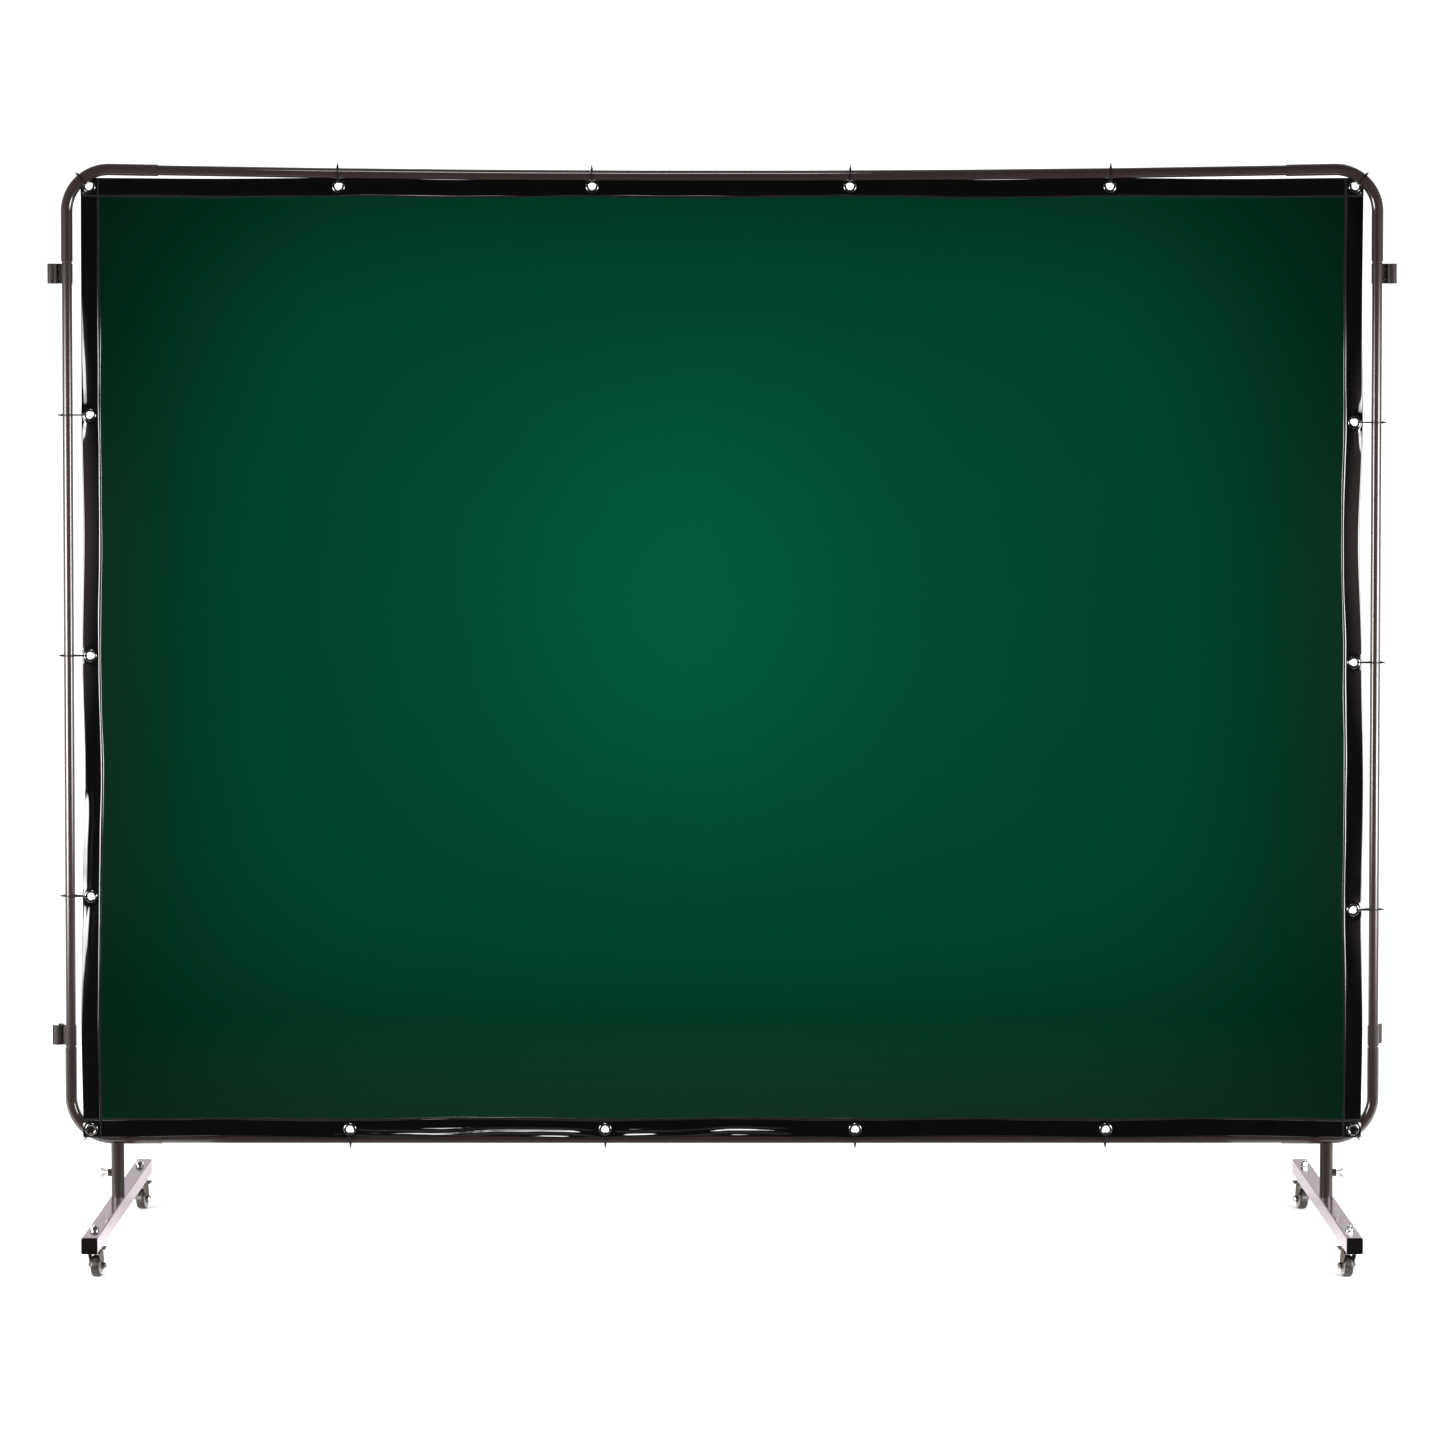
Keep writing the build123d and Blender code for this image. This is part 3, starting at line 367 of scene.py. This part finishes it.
# Looks of the materials that share a recipe: their colours, then a coat's gloss or the roughness and grain.
COATS = {
    "powder_coat": ((0.0185, 0.0118, 0.0108, 1), (0.0235, 0.0152, 0.0142, 1), 1.0),
    # The side rails: a lighter copy of the same paint, as painted light where they catch the lights beside
    # them.
    "powder_coat_sides_painted_light": ((0.028, 0.0175, 0.016, 1), (0.035, 0.0225, 0.021, 1), 1.0),
    "powder_coat_legs": ((0.017, 0.012, 0.010, 1), (0.023, 0.0165, 0.014, 1), 0.5),
}
ZINCS = {
    "bright_zinc": ((0.66, 0.65, 0.63, 1), (0.46, 0.46, 0.46, 1), 0.21),
    "satin_zinc": ((0.86, 0.86, 0.85, 1), (0.70, 0.70, 0.70, 1), 0.34),
}
PLASTICS = {
    "cap_plastic": ((0.0035, 0.0028, 0.0025, 1), (0.014, 0.012, 0.011, 1), 0.20, 500.0),
    "pedal_plastic": ((0.010, 0.010, 0.011, 1), (0.05, 0.05, 0.05, 1), 0.34, 900.0),
    "wheel_plastic": ((0.66, 0.65, 0.63, 1), (0.80, 0.79, 0.77, 1), 0.30, 700.0),
}
MATERIALS = {
    name: recipe(name, *look)
    for recipe, looks in ((powder_coat, COATS), (zinc_plating, ZINCS), (satin_plastic, PLASTICS))
    for name, look in looks.items()
} | {
    recipe.__name__: recipe()
    for recipe in (coupler_paint, foot_chrome, zinc_thread, nickel, tyre_rubber, grommet_metal, nylon,
                   hem_vinyl, bead_vinyl, film_vinyl)
}


def finish(piece, material):
    piece.data.materials.clear()
    piece.data.materials.append(MATERIALS[material])


# ---------------------------------------------------------------- finishes of the CAD nodes

FINISHES = {
    "powder_coat": ["top_rail", "bottom_rail"]
    + [f"corner_tube_{row}_{hand}" for row in ("top", "bottom") for hand in SIDES],
    # The side rails take the lighter copy of the paint: painted light.
    "powder_coat_sides_painted_light": ["left_rail", "right_rail"],
    "powder_coat_legs": ["leg_weld_nuts"] + [f"leg_sleeve_{hand}" for hand in SIDES],
    "coupler_paint": [f"{name}_{row}_{hand}" for name in ("coupler", "coupler_rivets")
                      for row in ("top", "bottom") for hand in SIDES],
    "bright_zinc": [f"{name}_{hand}" for name in ("stem_nuts", "bearing_balls") for hand in SIDES]
    + [f"axle_{corner}" for corner in CORNERS],
    "satin_zinc": [f"wing_screw_{hand}" for hand in SIDES],
    "foot_chrome": [f"foot_tube_{hand}" for hand in SIDES],
    "zinc_thread": [f"caster_stems_{hand}" for hand in SIDES],
    "cap_plastic": [f"end_caps_{hand}" for hand in SIDES],
    "nickel": [f"fork_{corner}" for corner in CORNERS] + [f"foot_post_{hand}" for hand in SIDES],
    "wheel_plastic": [f"wheel_{corner}" for corner in CORNERS],
    "tyre_rubber": [f"tyre_{corner}" for corner in CORNERS],
    "pedal_plastic": [f"brake_pedal_{corner}" for corner in CORNERS],
    "grommet_metal": ["grommets", "grommet_washers"],
    "nylon": ["cable_ties"],
}
for finish_name, members in FINISHES.items():
    for member in members:
        finish(nodes[member], finish_name)


# ---------------------------------------------------------------- the curtain's own plane

def islands(mesh):
    """Centres of the separate closed shells of a mesh."""
    parent = list(range(len(mesh.vertices)))

    def root(i):
        while parent[i] != i:
            parent[i] = parent[parent[i]]
            i = parent[i]
        return i

    for edge in mesh.edges:
        a, b = edge.vertices
        parent[root(a)] = root(b)
    groups = {}
    for i, vertex in enumerate(mesh.vertices):
        groups.setdefault(root(i), []).append(vertex.co)
    boxes = [(np.min(g, axis=0), np.max(g, axis=0)) for g in (np.array(g) for g in groups.values())]
    return [Vector((low + high) / 2) for low, high in boxes]


def merged_spots(points, apart):
    """Points that are further apart than that from the ones before them."""
    kept = []
    for point in points:
        if all((point - other).length > apart for other in kept):
            kept.append(point)
    return kept


holes = merged_spots(islands(nodes["grommets"].data), 0.01)
hem_low, hem_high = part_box("curtain_hem")
HALF_WIDTH = (hem_high.x - hem_low.x) / 2
highest = max(holes, key=lambda p: p.z)
lowest = min(holes, key=lambda p: p.z)
UP = Vector((0, highest.y - lowest.y, highest.z - lowest.z)).normalized()
FRONT = Vector((0, -UP.z, UP.y))
MIDDLE = Vector((0, (hem_low.y + hem_high.y) / 2, (hem_low.z + hem_high.z) / 2))
HALF_HEIGHT = (hem_high.z - hem_low.z) / 2 / UP.z

GROMMETS = [(p.x, (p - MIDDLE).dot(UP)) for p in holes]
INSET = HALF_WIDTH - max(u for u, _ in GROMMETS)
STATIONS = {
    "top": sorted(u for u, v in GROMMETS if v > HALF_HEIGHT - 2 * INSET),
    "bottom": sorted(u for u, v in GROMMETS if v < 2 * INSET - HALF_HEIGHT),
    "left": sorted(v for u, v in GROMMETS if u < 2 * INSET - HALF_WIDTH),
    "right": sorted(v for u, v in GROMMETS if u > HALF_WIDTH - 2 * INSET),
}


def smooth(t):
    t = np.clip(t, 0.0, 1.0)
    return t * t * (3 - 2 * t)


def waves(along, rows, phase=1.0):
    """Sum of sine waves given as (height, radians per metre, share of the phase)."""
    return sum(height * np.sin(along * rate + share * phase) for height, rate, share in rows)


def edge_wave(edge, along, column):
    """How far an edge is moved at each place along it: column 0 inwards, column 1 to the front."""
    stations = STATIONS[edge]
    moved = np.zeros_like(along)
    for (start, end), span in zip(zip(stations, stations[1:]), SPANS[edge]):
        t = (along - start) / (end - start)
        shape = np.where((t > 0) & (t < 1), np.sin(pi * np.clip(t, 0, 1)) ** 2, 0.0)
        moved += shape * span[column]
    return moved


def eased(along, table):
    """The heights of a table of (place, height), with smooth changes between its places."""
    places, heights = np.array(table).T
    step = np.clip(np.searchsorted(places, along, side="right") - 1, 0, len(places) - 2)
    t = smooth((along - places[step]) / (places[step + 1] - places[step]))
    return heights[step] + (heights[step + 1] - heights[step]) * t


def hem_relief(edge, depth, along):
    """How far a hem stands to the front at a depth inside its outer edge: its roll, curl and ripples."""
    inside = np.clip(depth, 0.0, None)
    roll = CROWNS[edge] * np.clip(1 - inside / HEM_WIDTH, 0, None) ** 2
    curl = eased(along, CURLS[edge]) * np.clip(1 - inside / CURL_REACH, 0, None) ** 2
    drift = waves(along, RIPPLE_DRIFT)
    ripple = eased(along, RIPPLES[edge]) * smooth((RIPPLE_REACH - inside) / RIPPLE_FADE) * np.cos(
        2 * pi * (inside - RIPPLE_FROM - drift) / RIPPLE_LENGTH)
    return ripple - roll - curl


def hang(u, v):
    """Where points of the flat curtain hang: their places in its plane and their distance to the front."""
    edges = {
        "left": (u + HALF_WIDTH, v, 1, 0),
        "right": (HALF_WIDTH - u, v, -1, 0),
        "bottom": (v + HALF_HEIGHT, u, 0, 1),
        "top": (HALF_HEIGHT - v, u, 0, -1),
    }
    new_u, new_v = u.copy(), v.copy()
    front = SWAY * np.sin(2.1 * u + 0.6) * np.cos(3.3 * v - 0.4) + SLANT_SWAY * np.sin(5.3 * u - 2.2 * v)
    relief = np.zeros_like(u)
    for edge, (depth, along, toward_u, toward_v) in edges.items():
        inward = edge_wave(edge, along, 0) * np.exp(-depth / WAVE_REACH)
        new_u += toward_u * inward
        new_v += toward_v * inward
        front += edge_wave(edge, along, 1) * np.exp(-depth / (WAVE_REACH / 2))
        relief += hem_relief(edge, depth, along)
    held, clear = np.ones_like(u), np.ones_like(u)
    for hole_u, hole_v in GROMMETS:
        away = np.hypot(u - hole_u, v - hole_v)
        held *= smooth((away - WASHER_R) / HELD_REACH)
        clear *= smooth((away - WASHER_R) / FLAT_REACH)
    return u + (new_u - u) * held, v + (new_v - v) * held, front * held + relief * clear


def in_place(u, v, lift):
    """Points of the hanging curtain in the row frame; lift is the distance in front of the film's middle."""
    new_u, new_v, front = hang(u, v)
    front = front + lift
    return np.stack([MIDDLE.x + new_u,
                     MIDDLE.y + UP.y * new_v + FRONT.y * front,
                     MIDDLE.z + UP.z * new_v + FRONT.z * front], axis=-1)


def new_piece(name, points, faces, material, body="frame"):
    mesh = bpy.data.meshes.new(name)
    mesh.from_pydata([tuple(p) for p in points], [], faces)
    mesh.validate()
    mesh.shade_smooth()
    piece = bpy.data.objects.new(name, mesh)
    bpy.context.scene.collection.objects.link(piece)
    finish(piece, material)
    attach(piece, body)
    return piece


def grid_lines(low, high, step, fine_at, fine_step, fine_reach):
    """Grid lines from low to high, closer together round some places."""
    lines = list(np.linspace(low, high, max(2, round((high - low) / step) + 1)))
    for place in fine_at:
        lines += list(np.arange(max(low, place - fine_reach), min(high, place + fine_reach), fine_step))
    lines.sort()
    kept = [lines[0]]
    for line in lines[1:-1]:
        if line - kept[-1] > fine_step * 0.8:
            kept.append(line)
    if high - kept[-1] < fine_step * 0.5:
        kept.pop()
    return np.array(kept + [lines[-1]])


def grid_faces(rows, columns, keep):
    """Quads between neighbouring lines of a grid, where keep says so; keep has a value for each quad."""
    faces = []
    for i in range(rows - 1):
        for j in range(columns - 1):
            if keep[i, j]:
                a = i * columns + j
                faces.append((a, a + 1, a + columns + 1, a + columns))
    return faces


def clear_of_holes(u, v, radius):
    """For each quad of a grid, whether all its corners are outside the grommets' holes."""
    near = np.full(u.shape, False)
    for hole_u, hole_v in GROMMETS:
        near |= np.hypot(u - hole_u, v - hole_v) < radius
    return ~(near[:-1, :-1] | near[1:, :-1] | near[:-1, 1:] | near[1:, 1:])


def film():
    """The film, as far as it can be seen: its edges end inside the hems."""
    half_u, half_v = (half - HEM_WIDTH + HEM_OVERLAP for half in (HALF_WIDTH, HALF_HEIGHT))
    us = grid_lines(-half_u, half_u, FILM_STEP, (-half_u, half_u), FILM_STEP / 4, FILM_MARGIN)
    vs = grid_lines(-half_v, half_v, FILM_STEP, (-half_v, half_v), FILM_STEP / 4, FILM_MARGIN)
    v, u = np.meshgrid(vs, us, indexing="ij")
    points = in_place(u, v, np.zeros_like(u)).reshape(-1, 3)
    keep = np.full((len(vs) - 1, len(us) - 1), True)
    piece = new_piece("curtain_film", points, grid_faces(len(vs), len(us), keep), "film_vinyl")
    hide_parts("curtain_sheet")
    return piece


def strip_place(edge, along, depth):
    """Flat place of a point that is a depth inside one edge."""
    if edge in ("left", "right"):
        side = -1 if edge == "left" else 1
        return side * (HALF_WIDTH - depth), along
    side = -1 if edge == "bottom" else 1
    return along, side * (HALF_HEIGHT - depth)


def half_length(edge):
    return HALF_HEIGHT if edge in ("left", "right") else HALF_WIDTH


def hem_strip(edge, half_thick):
    """One strip of black vinyl folded over an edge of the film."""
    fold = [(d, half_thick * share) for d, share in HEM_FOLD]
    flat = np.linspace(HEM_FLAT_FROM, HEM_WIDTH, HEM_LINES)
    profile = [(d, half_thick) for d in flat[::-1]] + fold + [(d, -half_thick) for d in flat]
    profile = [(HEM_WIDTH, HEM_LIP)] + profile + [(HEM_WIDTH, -HEM_LIP)]
    half = half_length(edge)
    along = grid_lines(-half, half, HEM_STEP, STATIONS[edge], GROMMET_STEP, GROMMET_MARGIN)
    depth = np.array([p[0] for p in profile])
    lift = np.array([p[1] for p in profile])
    s, d = np.meshgrid(along, depth, indexing="ij")
    u, v = strip_place(edge, s, d)
    points = in_place(u, v, np.broadcast_to(lift, u.shape)).reshape(-1, 3)
    faces = grid_faces(len(along), len(depth), clear_of_holes(u, v, HOLE_R))
    return new_piece(f"hem_{edge}", points, faces, "hem_vinyl")


def weld_bead(edge, face):
    """Raised line of melted vinyl along a hem's inner edge, on the curtain's front or back."""
    half = half_length(edge) - BEAD_END
    along = np.linspace(-half, half, BEAD_GRID[0])
    across = np.linspace(1.0, -1.0, BEAD_GRID[1])
    phase = len(edge)
    swell = 1.0 + waves(along, BEAD_SWELL, phase)
    depth = (HEM_WIDTH + waves(along, BEAD_WANDER, phase))[:, None] + np.outer(swell, BEAD_WIDTH / 2 * across)
    lift = BEAD_FOOT + np.outer(swell, BEAD_HEIGHTS[edge] * (1 - across ** 2))
    s = np.broadcast_to(along[:, None], depth.shape)
    u, v = strip_place(edge, s, depth)
    points = in_place(u, v, face * lift).reshape(-1, 3)
    keep = np.full((len(along) - 1, len(across) - 1), True)
    return new_piece(f"bead_{edge}_{'front' if face > 0 else 'back'}", points,
                     grid_faces(len(along), len(across), keep), "bead_vinyl")


curtain = film()
hems = {edge: hem_strip(edge, half_thick) for edge, half_thick in HEM_HALF_THICK.items()}
for hem in hems.values():
    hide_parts("curtain_hem")
beads = [weld_bead(edge, face) for edge in hems for face in (1, -1)]


# ---------------------------------------------------------------- pale rims of the wheels

# Section of a rim: (distance outwards from a wheel's middle, radius).
RIM_SECTION = ((0.0080, 0.0137), (0.0086, 0.0141), (0.0089, 0.0150), (0.0087, 0.0160), (0.0080, 0.0168))
RIM_TURNS = 72              # grid lines round a rim


def pale_rim(corner):
    """The pale rings on both sides of a wheel, between its tyre's tread and its fork."""
    middle = sum(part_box(f"tyre_{corner}"), Vector()) / 2
    pin = np.array([v.co for v in nodes[f"axle_{corner}"].data.vertices])
    axis = Vector(np.linalg.svd(pin - pin.mean(axis=0), full_matrices=False)[2][0]).normalized()
    across = axis.cross(Vector((0, 0, 1))).normalized()
    points, faces = [], []
    for side in (1, -1):
        first = len(points)
        for i in range(RIM_TURNS):
            a = 2 * pi * i / RIM_TURNS
            out = across * cos(a) + Vector((0, 0, 1)) * sin(a)
            points += [middle + axis * side * x + out * r for x, r in RIM_SECTION]
        n = len(RIM_SECTION)
        for i in range(RIM_TURNS):
            for j in range(n - 1):
                a, b = first + i * n + j, first + (i + 1) % RIM_TURNS * n + j
                faces.append((a, b, b + 1, a + 1))
    return new_piece(f"pale_rim_{corner}", points, faces, "wheel_plastic", f"wheel_{corner}")


for corner in CORNERS:
    pale_rim(corner)


# ---------------------------------------------------------------- floor, light and camera

BACKGROUND = 1.3            # brightness of the white surroundings and the floor
AMBIENT = 0.10              # light that reaches the screen from all sides
FLOOR_REACH = 30.0
FLOOR_WHITE = 0.92          # about the floor's own colour
FLOOR_SUN_ANGLE = 120       # degrees across, so the screen casts only a faint shadow
BAY_FRONT = -0.34           # the floor between the feet: its front edge,
BAY_BACK = 0.45             # its back edge
BAY_HALF = 1.0              # and half its width

# Brightness of the world in reflections: at its two ends, and (place from front to back, brightness) between.
REFLECTED_FRONT, REFLECTED_BACK = 0.03, 1.0
REFLECTED_STOPS = ((0.10, 0.04), (0.30, 0.14), (0.55, 0.35), (0.80, 0.8))

# Lights beside the screen, given for the right hand side and mirrored to the left.
BOX_AT, BOX_TOWARD = (3.16, -1.78, 0.95), (0, 0, 1.0)
FILL_AT, FILL_TOWARD = (2.79, -3.12, 0.95), (1.2, 0, 1.0)
WARM = (1.0, 0.78, 0.74)

LENS = 99.4                 # millimetres on a sensor 36 mm wide
LENS_SHIFT = (0.0003, -0.18)
CAMERA_AT = (0.0, -7.579, 1.7454)
CAMERA_TILT = 1.9           # degrees down


def stage_floor():
    """White floor in parts. Reflections see the one between the feet as grey, and not the one in front."""
    materials = {}
    for name, mirrored in (("pale_floor", (0.90, 0.90, 0.90, 1)), ("bay_floor", (0.16, 0.15, 0.145, 1))):
        m = Material(name)
        pale = m.blend(m.noise(2.0, 4.0), (0.90, 0.90, 0.90, 1), (0.93, 0.93, 0.93, 1))
        m.color(m.blend(m.node("ShaderNodeLightPath").outputs["Is Glossy Ray"], pale, mirrored))
        m.roughness(m.remap(m.noise(30.0), 0.3, 0.7, 0.55, 0.65))
        m.bump((m.noise(120.0), 0.0002))
        materials[name] = m.material
    lit = bpy.data.collections.new("floor_parts")
    reach = FLOOR_REACH
    for name, left, right, near, far, material, reflected in (
            ("floor_back", -reach, reach, BAY_BACK, reach, "pale_floor", True),
            ("floor_left", -reach, -BAY_HALF, BAY_FRONT, BAY_BACK, "pale_floor", True),
            ("floor_right", BAY_HALF, reach, BAY_FRONT, BAY_BACK, "pale_floor", True),
            ("floor_bay", -BAY_HALF, BAY_HALF, BAY_FRONT, BAY_BACK, "bay_floor", True),
            ("floor_front", -reach, reach, -reach, BAY_FRONT, "pale_floor", False)):
        mesh = bpy.data.meshes.new(name)
        corners = [(left, near, 0), (right, near, 0), (right, far, 0), (left, far, 0)]
        mesh.from_pydata(corners, [], [(0, 1, 2, 3)])
        mesh.materials.append(materials[material])
        floor = bpy.data.objects.new(name, mesh)
        floor.visible_glossy = reflected
        floor.visible_diffuse = floor.visible_transmission = False
        bpy.context.scene.collection.objects.link(floor)
        lit.objects.link(floor)
    return lit


def floor_light(receivers):
    """Soft light from above that only the floor receives, so that it is white up to the horizon."""
    data = bpy.data.lights.new("floor_light", "SUN")
    data.energy = BACKGROUND * pi / FLOOR_WHITE
    data.angle = radians(FLOOR_SUN_ANGLE)
    light = bpy.data.objects.new("floor_light", data)
    light.visible_glossy = False
    bpy.context.scene.collection.objects.link(light)
    light.light_linking.receiver_collection = receivers


def faded(data, shares):
    """Lets an area light die out towards its edges, over shares of its width and height."""
    data.use_nodes = True
    tree = data.node_tree
    make, link = tree.nodes.new, tree.links.new
    across = make("ShaderNodeSeparateXYZ")
    link(make("ShaderNodeNewGeometry").outputs["Parametric"], across.inputs[0])
    strength = make("ShaderNodeMath")
    strength.operation = "MULTIPLY"
    for factor, axis, share in zip(strength.inputs, ("X", "Y"), shares):
        fold = make("ShaderNodeMath")
        fold.operation = "PINGPONG"
        fold.inputs[1].default_value = 0.5
        edge = make("ShaderNodeMapRange")
        edge.interpolation_type = "SMOOTHSTEP"
        edge.inputs["From Max"].default_value = share
        link(across.outputs[axis], fold.inputs[0])
        link(fold.outputs[0], edge.inputs["Value"])
        link(edge.outputs[0], factor)
    link(strength.outputs[0], tree.nodes["Emission"].inputs["Strength"])


def soft_light(name, at, toward, size, power, reflected=True, fade=None, spread=180, color=(1, 1, 1),
               film=True):
    """A rectangular softbox; film says whether it lights the film too."""
    data = bpy.data.lights.new(name, "AREA")
    data.shape = "RECTANGLE"
    data.size, data.size_y = size
    data.energy = power
    data.spread = radians(spread)
    data.color = color
    if fade:
        faded(data, fade)
    light = bpy.data.objects.new(name, data)
    light.location = at
    light.rotation_euler = (Vector(toward) - Vector(at)).to_track_quat("-Z", "Y").to_euler()
    light.visible_camera = False
    light.visible_glossy = reflected
    bpy.context.scene.collection.objects.link(light)
    if not film:
        light.light_linking.receiver_collection = all_but_film


def studio():
    """World: white for the eye, dim for lighting, and in reflections bright behind and dark in front."""
    world = bpy.data.worlds.new("studio")
    bpy.context.scene.world = world
    world.use_nodes = True
    tree = world.node_tree
    tree.nodes.clear()
    make, link = tree.nodes.new, tree.links.new
    output, path, place, split, ramp, shift = (make(kind) for kind in (
        "ShaderNodeOutputWorld", "ShaderNodeLightPath", "ShaderNodeTexCoord", "ShaderNodeSeparateXYZ",
        "ShaderNodeValToRGB", "ShaderNodeMapRange"))
    link(place.outputs["Generated"], split.inputs[0])
    link(split.outputs["Y"], shift.inputs["Value"])
    shift.inputs["From Min"].default_value = -1.0
    link(shift.outputs[0], ramp.inputs[0])
    stops = ramp.color_ramp.elements
    stops[0].color = (REFLECTED_FRONT,) * 3 + (1,)
    stops[1].color = (REFLECTED_BACK,) * 3 + (1,)
    for position, value in REFLECTED_STOPS:
        stops.new(position).color = (value, value, value, 1)
    shown, reflected, seen = (make("ShaderNodeBackground") for _ in range(3))
    shown.inputs["Color"].default_value = seen.inputs["Color"].default_value = (1, 1, 1, 1)
    shown.inputs["Strength"].default_value = AMBIENT
    seen.inputs["Strength"].default_value = BACKGROUND
    link(ramp.outputs["Color"], reflected.inputs["Color"])
    for ray, surroundings in (("Is Glossy Ray", reflected), ("Is Camera Ray", seen)):
        mix = make("ShaderNodeMixShader")
        link(path.outputs[ray], mix.inputs[0])
        link(shown.outputs[0], mix.inputs[1])
        link(surroundings.outputs[0], mix.inputs[2])
        shown = mix
    link(shown.outputs[0], output.inputs["Surface"])


def camera():
    data = bpy.data.cameras.new("camera")
    data.sensor_width = 36.0
    data.lens = LENS
    data.shift_x, data.shift_y = LENS_SHIFT
    data.clip_end = 200.0
    made = bpy.data.objects.new("camera", data)
    made.location = CAMERA_AT
    made.rotation_euler = (radians(90 - CAMERA_TILT), 0, 0)
    bpy.context.scene.collection.objects.link(made)
    bpy.context.scene.camera = made


# In light linking, a collection whose only member is excluded stands for everything else.
all_but_film = bpy.data.collections.new("all_but_film")
all_but_film.objects.link(curtain)
all_but_film.collection_objects[0].light_linking.link_state = "EXCLUDE"
camera()
studio()
floor_light(stage_floor())
for hand, side in zip(SIDES, (-1, 1)):
    box_at, box_toward, fill_at, fill_toward = (
        (side * x, y, z) for x, y, z in (BOX_AT, BOX_TOWARD, FILL_AT, FILL_TOWARD))
    soft_light(f"{hand}_box", box_at, box_toward, size=(2.1, 2.0), power=330, fade=(0.15, 0.3), film=False)
    soft_light(f"{hand}_sheen", box_at, box_toward, size=(2.4, 2.0), power=22, fade=(0.4, 0.4))
    soft_light(f"{hand}_fill", fill_at, fill_toward, size=(2.27, 2.0), power=10, fade=(0.45, 0.3), color=WARM,
               film=False)
soft_light("front_box", (-0.46, -3.3, 4.9), (-0.46, 0, 0.2), size=(1.85, 2.0), power=11.6, fade=(0.12, 0.2),
           spread=37, film=False)
soft_light("overhead", (0, 0.6, 4.2), (0, 0, 0), size=(5.0, 3.0), power=30, reflected=False)
soft_light("glow", (0.0, 0.33, 1.19), (0.0, 0, 1.19), size=(2.15, 1.53), power=15.7, reflected=False)
soft_light("glow_core", (-0.07, 0.35, 1.235), (-0.07, 0, 1.235), size=(0.45, 0.61), power=1.8,
           reflected=False)
bpy.context.scene.view_settings.view_transform = "Standard"
